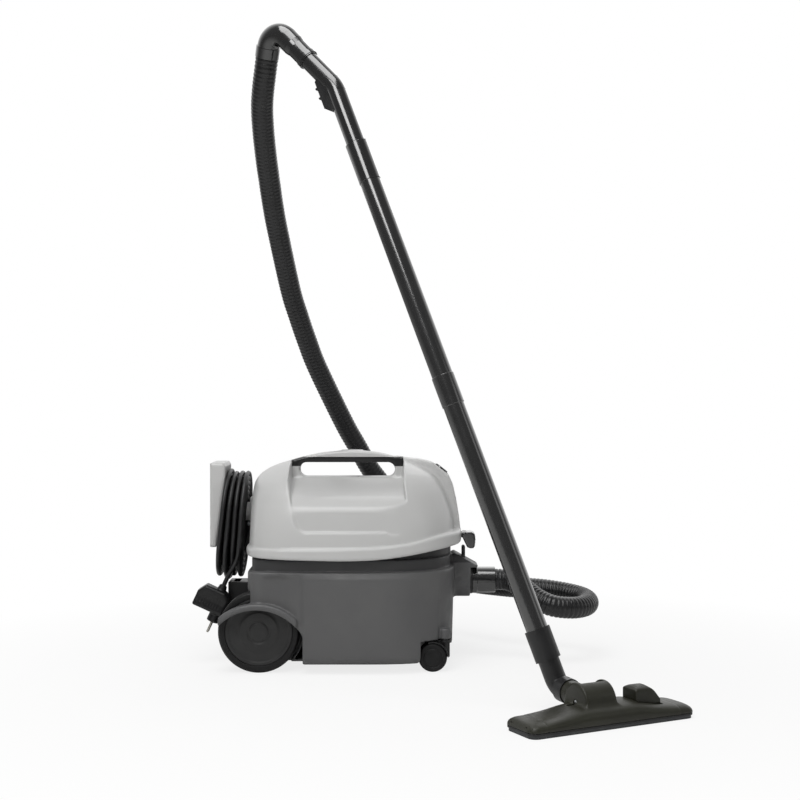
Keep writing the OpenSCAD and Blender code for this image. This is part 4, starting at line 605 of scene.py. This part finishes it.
def tub_field(x, y, z):
    """Distance to the tub: the outer forms joined, less the room inside, with the arches and the
    sockets for stems and axles added, and then the wells and holes cut."""
    side = np.abs(y)
    share = np.clip((z - 18) / 9, 0, 1) * np.clip((tub_top - 3 - z) / 9, 0, 1)
    share = share * np.clip((side - 50) / 25, 0, 1)
    walls = tub_wall(x, side - share * relief(x), z, 0)
    body = smax(smax(walls, z - tub_top, 5), tub_foot - z, 12)
    neck = smax(tub_wall(x, y, z, 7), slab(z, 180, 19), 1.2)
    boss = smax(rod(y, z - inlet_z, 30), slab(x, 181, 31), 2.5)
    roof = smax(outline(x, z, [[150, 172], [183, 195], [227, 170.6], [225, 168.4], [212, 168.4],
                               [212, 155], [150, 155]], 0.8), side - 30, 3)
    catch = smax(smax(slab(x, 200, 3), side - 12, 2), slab(z, 184, 22), 2)
    outer = smin(smin(smin(body, neck, 2.5), smin(boss, roof, 6), 7), catch, 2)

    wheel = np.hypot(x - wheel_x, z - wheel_z)
    stem = np.hypot(x - caster_x, side - caster_y)
    well = both(wheel - 78.5, 106.5 - side, side - 200)
    pocket = both(stem - 54.5, z - 58.5)
    under = both(154.5 - x, np.where(side > 60.5, z - 58.5, z - 41.5))
    deep = np.interp(z, [19.5, 25.5, 171, 201], [8.9, 6.5, 11.5, 10.5])
    room = smax(smax(tub_wall(x, y, z, deep), 19.5 - z, 6), -either(well, pocket, under), 4)
    shell = smax(outer, -room, 1.5)

    ring = np.hypot(x + 163, z - 21)
    arch = smax(smax(slab(ring, 96.5, 5.5), slab(side, 155.2, 10.8), 3),
                both(slab(x, wheel_x, 68), 41 - z), 2)
    sockets = either(both(stem - 10, slab(z, 64.5, 9.5)), both(wheel - 11, slab(side, 99, 11)))
    shell = smin(smin(shell, arch, 2), sockets, 1.5)
    for hole in (both(wheel - 75, 110 - side, side - 144),
                 both(ring - 91, x + 84, 120 - side),
                 both(stem - 51, z - 55),
                 both(158 - x, np.where(side > 64, z - 55, z - 38)),
                 both(stem - 5.1, z - 71),
                 both(wheel - 6, slab(side, 104, 12)),
                 both(rod(y, z - inlet_z, 24), 142 - x)):
        shell = smax(shell, -hole, 1.6)
    return shell


def paint_shade(finish, share, colour):
    """Lays a second colour over a finish, here painted shade: all of it where `share` is 1, none
    where it is 0.
    """
    tree = finish.node_tree
    base = next(n for n in tree.nodes if n.type == "BSDF_PRINCIPLED").inputs["Base Color"]
    tone = add(tree, "Mix", {"data_type": "RGBA", 0: share,
                             6: base.links[0].from_socket, 7: linear(colour)})
    tree.links.new(tone.outputs[2], base)


# ABS, injection moulded in a spark-eroded mould: mid grey, matt, with a grain of about 0.3 mm
# that is drawn 2 mm coarse here, in two close tones. The neck above z = 177 is painted darker:
# a painted shadow of the lid's rim on the recessed neck.
grey_abs = moulded("grey ABS, injection moulded", ("#5C5C5C", "#555556"), (0.42, 0.56),
                   2.2, 0.035, 120)
tree = grey_abs.node_tree
at = add(tree, "TexCoord", {}).outputs["Object"]
high = add(tree, "SeparateXYZ", {0: at}).outputs[2]
# painted shadow: the neck above z = 177 mm is coloured near black, standing in for the shade under
# the lid's rim
paint_shade(grey_abs, add(tree, "MapRange", {"Value": high, "From Min": 0.1772,
                                        "From Max": 0.1786}).outputs[0], "#343435")
points, quads = skin(tub_field, (-233, -172, 10), (232, 172, 210), 3.0)
solid("tub_shell", points, quads, grey_abs, "tub")

# ---- seal, inlet and hose cuffs ----
# A rubber ring on the tub's neck carries the lid. The hose's inlet cuff is pressed into a ring in
# the tub's front boss, and its other cuff turns on the bent handle. All are moulded.


def dress(node, finish, edge=0.0):
    """The node's own skin: its triangles' equal corners merged and shaded smooth within edges
    sharper than 30 degrees; when `edge` is given, those edges are rounded by `edge` mm and the
    shading is weighted by the area of the faces."""
    mesh = frame["nodes"][node].data
    points = np.empty(len(mesh.vertices) * 3, np.float32)
    mesh.vertices.foreach_get("co", points)
    mesh.calc_loop_triangles()
    tris = np.empty(len(mesh.loop_triangles) * 3, np.int32)
    mesh.loop_triangles.foreach_get("vertices", tris)
    tris = tris.reshape(-1, 3)
    piece = solid(node + "_skin", points.reshape(-1, 3).astype(float) * 1000 - shift,
                  tris[:, [0, 1, 2, 2]], finish, node)
    piece.data.set_sharp_from_angle(angle=math.radians(30))
    if edge:
        bevel = piece.modifiers.new("rounding", "BEVEL")
        bevel.width = edge / 1000
        bevel.segments = 2
        bevel.limit_method = "ANGLE"
        bevel.angle_limit = math.radians(32)
        piece.modifiers.new("normals", "WEIGHTED_NORMAL").keep_sharp = True
    return piece


# EPDM rubber, moulded: black and dull
seal_rubber = moulded("black EPDM rubber, moulded", ("#1B1B1C", "#151516"), (0.5, 0.62),
                      3.0, 0.03, 40)
dress("tub_seal", seal_rubber)
# glass-filled nylon, injection moulded: black, hard, with a fine grain and a low sheen
black_nylon = moulded("black nylon, injection moulded", ("#1B1B1C", "#141415"), (0.32, 0.46),
                      2.4, 0.03, 60)
dress("inlet_ring", black_nylon, 0.5)
# polished black ABS: a high gloss under a clear coat
gloss_abs = moulded("black ABS, polished mould", ("#0C0C0D", "#0A0A0B"), (0.16, 0.22),
                    9.0, 0.004, 70,
                    {"Coat Weight": 1.0, "Coat Roughness": 0.1, "Specular IOR Level": 0.7})
cuffs = [dress(node, gloss_abs, 0.7) for node in ("hose_inlet_cuff", "hose_wand_cuff")]

# ---- dust bag ----
# A paper bag, part full, hung by its card collar from a holder inside the tub's front.
# The paper bulges between soft creases that run down from its top.
bag_x, bag_z, bag_h = 59.5, 22, 96


def bag_rows(count, around):
    """Rings of a squared oval through the bag's sections, with creases: r is less by
    1.8 mm times |sin 9a|^6 and more by 1.3 mm times sin(3a + 7t), fading to top and foot."""
    at = np.linspace(0, 1, count)
    share = curve(at, [[0, 0.70], [1 / 24, 0.86], [3 / 16, 0.965], [41 / 48, 0.965],
                       [15 / 16, 0.85], [1, 0.52]])
    front = curve(at, [[0, 33], [1 / 24, 41], [3 / 16, 44.5], [19 / 48, 45.2], [9 / 16, 94],
                       [41 / 48, 94.5], [15 / 16, 84], [1, 56]])
    a = np.arange(around) * 2 * np.pi / around
    ca, sa = np.cos(a), np.sin(a)
    fade = np.sin(np.pi * np.clip(at, 0.02, 0.98)) ** 0.5
    waves = fade[:, None] * (-1.8 * np.abs(np.sin(9 * a + 0.4 * np.sin(9 * at[:, None]))) ** 6
                             + 1.3 * np.sin(3 * a + 7 * at[:, None]))
    fx = np.where(ca > 0, front[:, None], 98 * share[:, None])
    x = np.sign(ca) * np.abs(ca) ** (2 / 2.8) * (fx + waves)
    y = np.sign(sa) * np.abs(sa) ** (2 / 2.8) * (100 * share[:, None] + waves)
    rows = np.stack([x + bag_x, y, (bag_z + bag_h * at)[:, None] + 0 * x], -1)
    ends = [np.repeat(np.array([[[bag_x - 20, 0, h]]]), around, 1) for h in (22.5, 117)]
    return np.concatenate([ends[0], rows, ends[1]])


# kraft paper, sized and creased: warm grey-brown, matt, with fibres and soft stains
bag_paper, tree, shader, at = start("kraft paper, creased", "#CDBE9F", 0.82,
                                    {"Specular IOR Level": 0.2})
laid = add(tree, "Mapping", {"Vector": at, "Scale": (1, 1, 0.25)}).outputs[0]
fibre = noise(tree, laid, 1.6, detail=6.0)
stain = add(tree, "Mix", {"data_type": "RGBA", 0: noise(tree, at, 55),
                          6: linear("#D2C4A6"), 7: linear("#B5A482")})
tree.links.new(stain.outputs[2], shader.inputs["Base Color"])
crease = add(tree, "Bump", {"Strength": 1.0, "Distance": 0.0004, "Height": fibre})
tree.links.new(crease.outputs[0], shader.inputs["Normal"])
solid("paper_dust_bag", *net(bag_rows(40, 144)), bag_paper, "dust_bag")
# board, punched: brown and quite matt, with a coarse pulp
card = moulded("grey board, punched", ("#B18E60", "#A5824F"), (0.75, 0.85), 2.0, 0.06, 30)
dress("bag_collar", card, 0.3)
dress("bag_holder", black_nylon, 0.8)

# ---- wheels ----
# Large rear wheels: a grey nylon disc with a dished face and a raised hub, and a rubber tyre with
# two grooves shrunk on. They run on steel stubs that are pressed into the tub.
# nylon, injection moulded: dark grey, half matt, so that the dished face shows its rings
wheel_nylon = moulded("dark grey nylon, injection moulded", ("#2E2E2E", "#282828"), (0.36, 0.5),
                      2.4, 0.03, 45, {"Specular IOR Level": 0.35})
# tyre rubber, moulded: near black and dull, with a coarse grain
tyre_rubber = moulded("black rubber tyre, moulded", ("#131314", "#0D0D0D"), (0.42, 0.6),
                      2.0, 0.05, 25, {"Specular IOR Level": 0.35})
# bright steel, ground: grey and half bright, with short marks
steel = metal("bright steel, ground", "#B4B7BA", 0.28)
for node in ("wheel_axles", "left_caster_axle", "right_caster_axle"):
    dress(node, steel, 0.4)
disc = rounded([[0, 141.6], [14, 141.4], [16, 140.6], [17.2, 139.4], [19.5, 139.4], [21, 140.5],
                [33, 140.9], [35, 139.9], [38, 139.2], [51, 138.8], [54.5, 140.2], [57.6, 140.2],
                [58.9, 139.2], [58.9, 114], [51, 114], [51, 133], [14, 133], [14, 110.6],
                [6.1, 110.6], [6.1, 137], [0, 137]], 1.1)
tread = rounded([[59, 140.4], [67.5, 141], [71, 137.2], [71, 133], [69.6, 132], [69.6, 130],
                 [71, 129], [71, 125], [69.6, 124], [69.6, 122], [71, 121], [71, 116.8],
                 [67.5, 113], [59, 113.6]], 1.0)
sides = ((1, "left"), (-1, "right"))
for side, word in sides:
    for profile, finish, piece, node in ((disc, wheel_nylon, "_wheel_face", "_wheel_disc"),
                                         (tread, tyre_rubber, "_wheel_tread", "_tyre")):
        points, quads = turned(profile * [1, side], 128, "y")
        solid(word + piece, points + [wheel_x, 0, wheel_z], quads, finish, word + node)

# ---- casters ----
# Twin-wheel casters at the front: a nylon hood with its stem turning in the tub, and on one steel
# axle two black wheels with domed caps.
trail, roller_z = 22, 25
roller = rounded([[3.1, 4.9], [7, 4.9], [7, 5.6], [21, 5.6], [24, 5.6], [25, 7], [25, 13],
                  [24, 14.6], [22, 15.6], [18, 16.1], [17, 15.2], [15.5, 15.2], [14.5, 16.2],
                  [0, 16.6], [0, 14.6], [3.1, 14.6]], 0.8)
for side, word in sides:
    dress(word + "_caster_hood", black_nylon, 0.7)
    points, quads = together([turned(roller * [1, half], 64, "y") for half in (1, -1)])
    solid(word + "_caster_wheel_pair", points + [caster_x - trail, side * caster_y, roller_z],
          quads, tyre_rubber, word + "_caster_wheels")

# ---- parking bracket ----
# A block of black nylon at the tub's rear, moulded with the slot that the nozzle's hook is hung
# in.
dress("parking_bracket", black_nylon, 1.2)

# ---- lid ----
# The lid: one pale grey ABS dome. A ridge over its middle is the carrying handle, with a hand gap
# below it and a scooped hollow on each side, and a rim band runs round its foot.
dome = np.array([[200, 183, 184, 167], [234, 181.5, 183.5, 165.5], [262, 178, 183, 162],
                 [290, 171, 182, 155], [312, 163, 180, 145], [329, 153, 176, 131],
                 [342, 141, 165, 114], [353, 122, 145, 93], [362, 98, 117, 72], [370, 72, 88, 52],
                 [376, 48, 60, 35], [381, 20, 28, 15]], float)       # height, front, rear, half
rim_low = [[-188, 201.5], [-150, 200.5], [-60, 198], [0, 197.5], [50, 200], [100, 206],
           [150, 213.5], [175, 216.5], [195, 217]]
rim_high = [[-188, 217], [-100, 218], [0, 219.5], [60, 222], [100, 226.5], [150, 237], [175, 240],
            [195, 239]]
spine_out = [[60, 300], [78, 368.6], [98, 366.6], [118, 364.6], [135, 361], [146, 357], [173, 336],
             [180, 320], [186, 294], [191, 264], [194, 238], [194, 210], [150, 210]]
lid_wall = 5.4                  # drawn thicker than the construction's 3 mm
button_at = (159.5, 0, 346.5)
button_lean = 37.9
latch_x, latch_z = 202, 226


def dome_field(x, y, z):
    """Distance to the dome: the oval whose size at each height is the curve through `dome`,
    divided by the slope of its wall, |grad| with the share of z taken by differences."""
    def flat(h):
        t = np.clip((h - 200) / 181, 0, 1)
        return oval(x, y, curve(h, dome[:, [0, 1]]), curve(h, dome[:, [0, 2]]),
                    curve(h, dome[:, [0, 3]]), 3.1 - 0.9 * t, 5 - 2.8 * t ** 1.5)
    fall = (flat(z + 1.0) - flat(z - 1.0)) / 2
    return smax(flat(z) / np.hypot(1, fall), z - 381.3, 5)


def scoop_field(x, y, z):
    """The hollow on each side: a window seen from the side, everything outside a slope that falls
    from the ridge, and no nearer to the middle than the ridge's wall."""
    window = outline(x, np.minimum(z, 333), [[-120, 420], [-112, 333], [-97.5, 266], [-96, 246],
                                             [99, 246], [98, 268], [90, 333], [90, 420]], 24)
    side = np.abs(y)
    slope = None
    for a, b in (((19, 331), (132, 302)), ((132, 302), (154, 286)), ((154, 286), (159, 236))):
        run, drop = b[0] - a[0], b[1] - a[1]
        d = ((z - a[1]) * run - (side - a[0]) * drop) / math.hypot(run, drop)
        slope = d if slope is None else smax(slope, d, 6)
    return smax(smax(window, -slope, 3), 19 - side, 5)


def gap_field(x, y, z):
    """The hand gap: a rod across the lid, drawn out by 74 mm to the front and to the rear."""
    along = np.maximum(np.abs(x + 12) - 74, 0)
    return smax(rod(along, z - 346, 13), np.abs(y) - 120, 2)


def lid_field(x, y, z):
    """Distance to the lid: dome and spine joined, less the scoops, the hand gap and the room
    inside; then the rim band, the button's well, the latch's ears and the cord's bore."""
    side = np.abs(y)
    skin_out = dome_field(x, y, z)
    near = (x > 40) & (side < 40)
    ridge = np.where(near, smax(outline(x, z, spine_out, 2), side - 22, 5), 60.0)
    scoop = scoop_field(x, y, z)
    gap = gap_field(x, y, z)
    body = smax(smax(smin(skin_out, ridge, 7), -scoop, 3.2), -gap, 4.5)
    room = np.where(near, smax(outline(x, z, spine_out) + lid_wall, side - 16.6, 2), 60.0)
    room = smin(skin_out + lid_wall, room, 3)
    bar = smax(side - 21, 328 - z, 3)
    room = smax(smax(smax(room, -(scoop - lid_wall), 2), -(gap - lid_wall), 2), -bar, 2)
    body = smax(body, -room, 1.0)

    low, high = curve(x, rim_low), curve(x, rim_high)
    body = smax(body, np.where(x < 20, 200, low + 1) - z, 1.0)
    ring = smax(oval(x, y, 195, 188, 172, 3, 5.5), -oval(x, y, 178.6, 178, 158, 3.1, 5.5), 1)
    body = smin(body, smax(ring, smax(low - z, z - high, 1), 5), 2.5)

    b = math.radians(button_lean)
    u = (x - button_at[0]) * math.cos(b) - (z - button_at[2]) * math.sin(b)
    w = (x - button_at[0]) * math.sin(b) + (z - button_at[2]) * math.cos(b)
    well = (np.sqrt((u / 14.85) ** 2 + (y / 12.85) ** 2) - 1) * 13
    body = smax(body, -np.where(w > -24, well, 30.0), 0.8)

    ear = smin(smax(slab(x, 194.5, 7.5), slab(z, latch_z, 4.5), 1),
               rod(x - latch_x, z - latch_z, 5), 2)
    body = smin(body, smax(ear, slab(side, 9, 2.5), 1), 1.5)
    body = smax(body, -rod(x - latch_x, z - latch_z, 2.1), 0.3)
    bore = both(rod(y - gland_at[1], z - gland_at[2], 9), x + 170)
    return smax(body, -bore, 0.8)


# pale grey ABS in a smooth mould, with a soft sheen, and a near-black painted shade on the
# handle's underside, within a box about (-12, 0, 360.5)
pale_abs = moulded("pale grey ABS, injection moulded", ("#C6C6C5", "#C2C2C1"), (0.29, 0.33),
                   3.2, 0.003, 140)
tree = pale_abs.node_tree
# painted shade: a box under the handle's bar, over the hand gap's top and its ends, is coloured
# near black
grip = add(tree, "TexCoord", {}).outputs["Object"]
for operation, by in (("SUBTRACT", {1: tuple(metres([-12, 0, 360.5]))}),
                      ("DIVIDE", {1: (0.102, 0.0235, 0.0085)}), ("ABSOLUTE", {})):
    grip = add(tree, "VectorMath", {"operation": operation, 0: grip, **by}).outputs[0]
part = add(tree, "SeparateXYZ", {0: grip}).outputs
most = add(tree, "Math", {"operation": "MAXIMUM", 0: part[0], 1: part[1]})
most = add(tree, "Math", {"operation": "MAXIMUM", 0: most.outputs[0], 1: part[2]})
paint_shade(pale_abs, add(tree, "Math", {"operation": "LESS_THAN", 0: most.outputs[0],
                                    1: 1.0}).outputs[0], "#151516")
points, quads = skin(lid_field, (-192, -175, 194), (210, 175, 385), 2.7)
solid("lid_dome", points, quads, pale_abs, "lid_cover")

# ---- lid base, motor and filters ----
# Under the lid: a black nylon base with the filter basket, the fan in its cast housing,
# the motor's sheet-steel frame between two rubber mounts, and the foam over the exhaust.
dress("lid_base", black_nylon, 0.4)
dress("filter_basket", black_nylon, 0.3)
# aluminium as it leaves the die: light grey, satin, a little pitted
cast = metal("aluminium, die cast", "#9EA1A3", 0.48, deep=0.05)
dress("fan_housing", cast, 0.6)
# zinc plate on pressed sheet: bluish grey, with drawing marks up the sides
zinc = metal("zinc-plated sheet steel, pressed", "#8F9396", 0.34, (1, 1, 0.15), 0.02)
dress("motor_frame", zinc, 0.4)
for node in ("lower_motor_mount", "upper_motor_mount"):
    dress(node, seal_rubber, 0.5)
# rolled aluminium sheet: bright, with long rolling marks
spun = metal("sheet aluminium, riveted", "#B2B5B7", 0.3, (0.2, 1, 1), 0.02)
dress("impeller", spun, 0.2)
# dipped lacquer over steel laminations: red-brown, half glossy, uneven
lacquer = moulded("laminated steel, red-brown lacquer", ("#4A2A1E", "#5A3524"), (0.3, 0.5),
                  2.0, 0.08, 12)
dress("rotor_core", lacquer, 0.3)
for node in ("latch_pin", "hook_screws", "lid_screws"):
    dress(node, steel, 0.25)

# pleated filter cloth: needled polyester felt, off-white, folded 45 times round the basket
folds, cloth_r = 45, 84
felt, tree, shader, at = start("polyester felt, needled", "#DEDBD0", 0.9,
                               {"Specular IOR Level": 0.15})
fluff = add(tree, "Bump", {"Strength": 1.0, "Distance": 0.0003,
                           "Height": noise(tree, at, 1.4, detail=5.0)})
tree.links.new(fluff.outputs[0], shader.inputs["Normal"])
cup = rounded([[83.9, 196.6], [83.9, 134.6], [0, 134.1], [0, 136.8], [81.2, 136.8],
               [81.2, 196.6]], 1.2)
a = np.arange(folds * 12) * 2 * np.pi / (folds * 12)
fold = 1 - 0.9 * (np.abs(np.mod(a * folds / np.pi, 2) - 1)) / cloth_r
ring = np.stack([np.cos(a) * fold, np.sin(a) * fold], -1)
rows = np.concatenate([cup[:, None, :1] * ring[None], np.repeat(cup[:, None, 1:], len(a), 1)], -1)
solid("pleated_filter_cloth", *net(rows, wrap_rows=True), felt, "filter_cloth")

# exhaust foam: open-cell polyurethane, cut from a block, pale with round pores
foam, tree, shader, at = start("polyurethane foam, cut", "#E2E2DC", 0.95,
                               {"Specular IOR Level": 0.1})
pores = add(tree, "TexVoronoi", {"Vector": at, "Scale": 700.0}).outputs["Distance"]
pore = add(tree, "Bump", {"Strength": 1.0, "Distance": 0.0006, "Height": pores})
tree.links.new(pore.outputs[0], shader.inputs["Normal"])


def foam_field(x, y, z):
    """Block with rounded edges whose faces belly by 0.5 mm."""
    belly = 0.5 * np.cos((x + 119) / 20) * np.cos(y / 32)
    q = [slab(x, -119, 27), np.abs(y) - 46, slab(z, 222, 13.3) - belly]
    far = np.sqrt(sum(np.maximum(k, 0) ** 2 for k in q))
    return far + np.minimum(both(*q), 0) - 3.5


points, quads = skin(foam_field, (-153, -53, 202), (-85, 53, 242), 2.0)
solid("exhaust_foam", points, quads, foam, "exhaust_filter")

# ---- power button ----
# An oval push button on the lid's front slope: a dished key of polished black ABS that slides in
# a nylon bezel in the lid's well.
dress("button_bezel", black_nylon, 0.5)
key = rounded([[0, -6.9], [1, -6.9], [1, 1.9], [0.96, 2.8], [0.88, 3.0], [0.8, 2.7], [0.6, 1.9],
               [0.3, 1.3], [0, 1.2]], 0.04)
points, quads = turned(key, 72)
solid("power_key", place(points * [13, 11, 1], button_at, button_lean), quads, gloss_abs,
      "power_button")

# ---- front latch ----
# The lid's hooked latch of black ABS, moulded as a curved finger pad with three grip ridges. It
# swings on a steel pin between the two ears of the lid's rim.


def latch_field(x, y, z):
    """The latch's side outline between its two ends, less the slots for the lid's ears."""
    side = np.abs(y)
    pad = outline(x - 0.5, z, [[-5, -3], [3, 5.8], [12, 6], [18, 2], [19, -8], [18, -20],
                               [15, -24], [9, -24], [4, -22], [-3, -8]], 1.8)
    ridges = 0.7 * ribs(z + 1, 5, 0.9) * (x > 14) * (z < -2) * (z > -18)
    body = smax(smin(pad - ridges * (side < 14), rod(x, z, 6), 1.5), side - 19, 3)
    ear = both(slab(side, 9, 2.9), either(rod(x, z, 5.8), both(x, np.abs(z) - 20)))
    return smax(smax(body, -ear, 0.4), -both(rod(x, z, 2.05), side - 15.6), 0.4)


points, quads = skin(latch_field, (-9, -21.5, -27), (24, 21.5, 10), 1.0)
solid("latch_hook", points + [latch_x, 0, latch_z], quads, gloss_abs, "front_latch")

# ---- cord hook ----
# The hook on the lid's rear wall that the cord is wound on: a thick round arm and a broad tapered
# flange, hollow and ribbed from behind, fixed by two screws through its foot plate.


def hook_field(x, y, z):
    """Distance to the hook: flange, arm and foot joined, less the hollow between the ribs, the
    two screw holes and everything inside the dome that the foot is set against."""
    side = np.abs(y)
    flange = smax(outline(x, z, [[-259, 207], [-247.6, 207], [-231.2, 330], [-230.2, 353],
                                 [-234, 359], [-259, 359]], 2.5), side - 45, 6)
    arm = smax(rod(y, z - 268.5, 17), slab(x, -216, 34), 1)
    foot = smax(both(slab(x, -184, 4), slab(z, 266, 30)), side - 26, 3)
    body = smin(smin(flange, arm, 8), foot, 5)
    hollow = smax(outline(x, z, [[-270, 211], [-251.6, 211], [-235.2, 330], [-235, 355],
                                 [-270, 355]], 1), side - 41, 4)
    rib = either(slab(side, 22, 1.4), slab(z, 318, 1.4))
    body = smax(body, -smax(hollow, -smax(rib, -255 - x, 1), 1.5), 1.2)
    for screw_z in (246, 268):
        body = smax(body, -both(rod(y, z - screw_z, 2.05), x + 176), 0.3)
    return smax(body, -dome_field(x, y, z) + 0.15, 0.3)


points, quads = skin(hook_field, (-262, -47, 204), (-176, 47, 362), 1.9)
solid("cord_hook_flange", points, quads, pale_abs, "cord_hook")

# ---- handle and wand ----
# A bent gloss black grip with a sliding air regulator, a polished sleeve and two lacquered tubes,
# then the elbow that swivels on the nozzle's yoke.
dress("grip_tube", gloss_abs, 0.8)
dress("regulator_housing", black_nylon, 0.9)
dress("regulator_slider", black_nylon, 0.5)
dress("wand_sleeve", gloss_abs, 0.8)
# baked lacquer on drawn steel: black and glossy, with faint waves
coat = moulded("drawn steel tube, black lacquer", ("#0C0C0D", "#090909"), (0.18, 0.24),
               14.0, 0.003, 120,
               {"Coat Weight": 1.0, "Coat Roughness": 0.1, "Specular IOR Level": 0.9})
dress("upper_tube", coat, 0.5)
dress("lower_tube", coat, 0.5)
dress("neck_elbow", black_nylon, 0.8)
# polypropylene, injection moulded: olive black, waxy, with a low sheen
olive = moulded("olive-black polypropylene, moulded", ("#2C2C23", "#23231B"), (0.34, 0.48),
                2.6, 0.03, 50, {"Specular IOR Level": 0.35})
dress("nozzle_yoke", olive, 0.8)

# ---- floor nozzle ----
# A combination floor nozzle: a domed cover on a steel sole with a rubber bumper between, a hood
# over the tilting yoke, a foot pedal, and brush strips that the pedal lowers.
nozzle_at = (381.13, -495.19, 0)
nozzle_turn = 27.5
yoke_x, yoke_y, yoke_z = -14, 8, 33
pedal_x, pedal_z = 73, 18


def cover_field(x, y, z):
    """Distance to the cover: in each section across the nozzle |y/b|^s + |h/c|^s = 1 above z = 8,
    with b and c from the outline and the height at that x, and the hood over the yoke added."""
    side = np.abs(x)

    def shell(deep):
        end = np.clip((side - 132) / 14, 0, 1.02)
        b = 38 - deep - 14 * (1 - np.sqrt(np.maximum(0.02, 1 - end ** 2 * 0.9)))
        c = curve(side, [[-1, 32], [0, 32], [48, 32], [90, 25], [120, 21.6], [134, 20.5],
                         [142, 17.5], [146, 14]]) - 8 - deep
        s = 3.2
        u, v = np.abs(y) / b + 1e-6, np.maximum(z - 8, 0) / c + 1e-6
        g = (u ** s + v ** s) ** (1 / s)
        d = (g - 1) / np.hypot((u / g) ** (s - 1) / b, (v / g) ** (s - 1) / c)
        return smax(d, side - 146 + deep, 5)

    yoke = np.hypot(y - yoke_y, z - yoke_z)
    hood = smax(smax(yoke - 29.5, slab(x, yoke_x, 27), 4), 8 - z, 1)
    seam = 0.7 * np.exp(-((side - 118) / 0.9) ** 2)
    whole = smin(shell(0) + seam, hood, 8)
    body = smax(whole, -smax(shell(2.6), 7 - z, 0.5), 1)
    boss = both(either(np.abs(x - 48.1), np.abs(x - 97.9)) - 1.5, np.abs(y) - 6,
                slab(z, 20.5, 7))
    body = smin(body, boss, 0.8)
    barrel = both(yoke - 24.35, slab(x, yoke_x, 21.35))
    sweep = both(slab(x, yoke_x, 21), either(both(8 - y, 10.5 - z), both(4 - y, yoke_z - z)))
    window = both(slab(x, pedal_x, 23.35), np.abs(y) - 22, 10 - z)
    bores = either(both(yoke - 4, slab(x, yoke_x, 41)),
                   both(rod(y, z - pedal_z, 2.5), slab(x, pedal_x, 31)))
    for hole, k in ((barrel, 0.6), (sweep, 1.2), (window, 1.2), (bores, 0.3), (z - 8, 0.3)):
        body = smax(body, -hole, k)
    return body


points, quads = skin(cover_field, (-149, -41, 6), (149, 41, 66), 1.7)
solid("nozzle_hood", place(points, nozzle_at, 0, nozzle_turn), quads, olive, "nozzle_cover")
# sheet steel, blued by heat: dark, with long marks
blued = metal("sheet steel sole, blued", "#4A4B4C", 0.36, (0.08, 1, 1), 0.02)
dress("nozzle_sole", blued, 0.4)
dress("nozzle_bumper", seal_rubber, 0.5)
dress("tilt_pins", steel, 0.25)
dress("brush_frame", black_nylon, 0.25)


def pedal_field(x, y, z):
    """Part of a wide cylinder cut by the pedal's side outline, with grip ridges on its top."""
    top = smax(rod(y, z - 22, 30), outline(x, z, [[50, 22], [50, 46], [57, 52], [74, 52],
                                                  [85, 43], [96, 30], [96, 22]], 1.5), 2.5)
    ridges = 0.7 * ribs(x + 1.5, 4, 0.7) * (z > 44) * (np.abs(y) < 12)
    body = smax(top, np.abs(y) - 17, 2.5) + ridges * (x > 54) * (x < 76)
    hub = both(rod(y, z - pedal_z, 5.5), slab(x, pedal_x, 23))
    web = both(np.abs(y) - 5, slab(z, 22, 4), slab(x, pedal_x, 23))
    pin = both(rod(y, z - pedal_z, 2.45), slab(x, pedal_x, 27))
    return smin(smin(body, either(hub, web), 1), pin, 0.4)


points, quads = skin(pedal_field, (44, -20, 10), (102, 20, 55), 1.2)
solid("rocker_pedal", place(points, nozzle_at, 0, nozzle_turn), quads, olive, "foot_pedal")

# brush strips: black nylon bristles in round tufts, a little splayed at their tips
bristle = moulded("nylon bristle, crimped", ("#1B1B1A", "#131312"), (0.4, 0.6), 1.2, 0.1, 20)
chance = np.random.default_rng(7)
tufts = []
for row in (-30, 4):
    for x in np.arange(-105.5, 106, 3.52):
        if row > 0 and abs(x - yoke_x) < 37.5:
            continue
        lean = chance.uniform(-0.5, 0.5, 2)
        way = np.array([[x, row, 10.1], [x, row, 7], [x + lean[0] / 2, row + lean[1] / 2, 3.6],
                        [x + lean[0], row + lean[1], 0.9]])
        tufts.append(net(tube(way, np.array([1.25, 1.3, 1.4, 1.5]), 8)))
points, quads = together(tufts)
solid("brush_tufts", place(points, nozzle_at, 0, nozzle_turn), quads, bristle, "brush_strips")
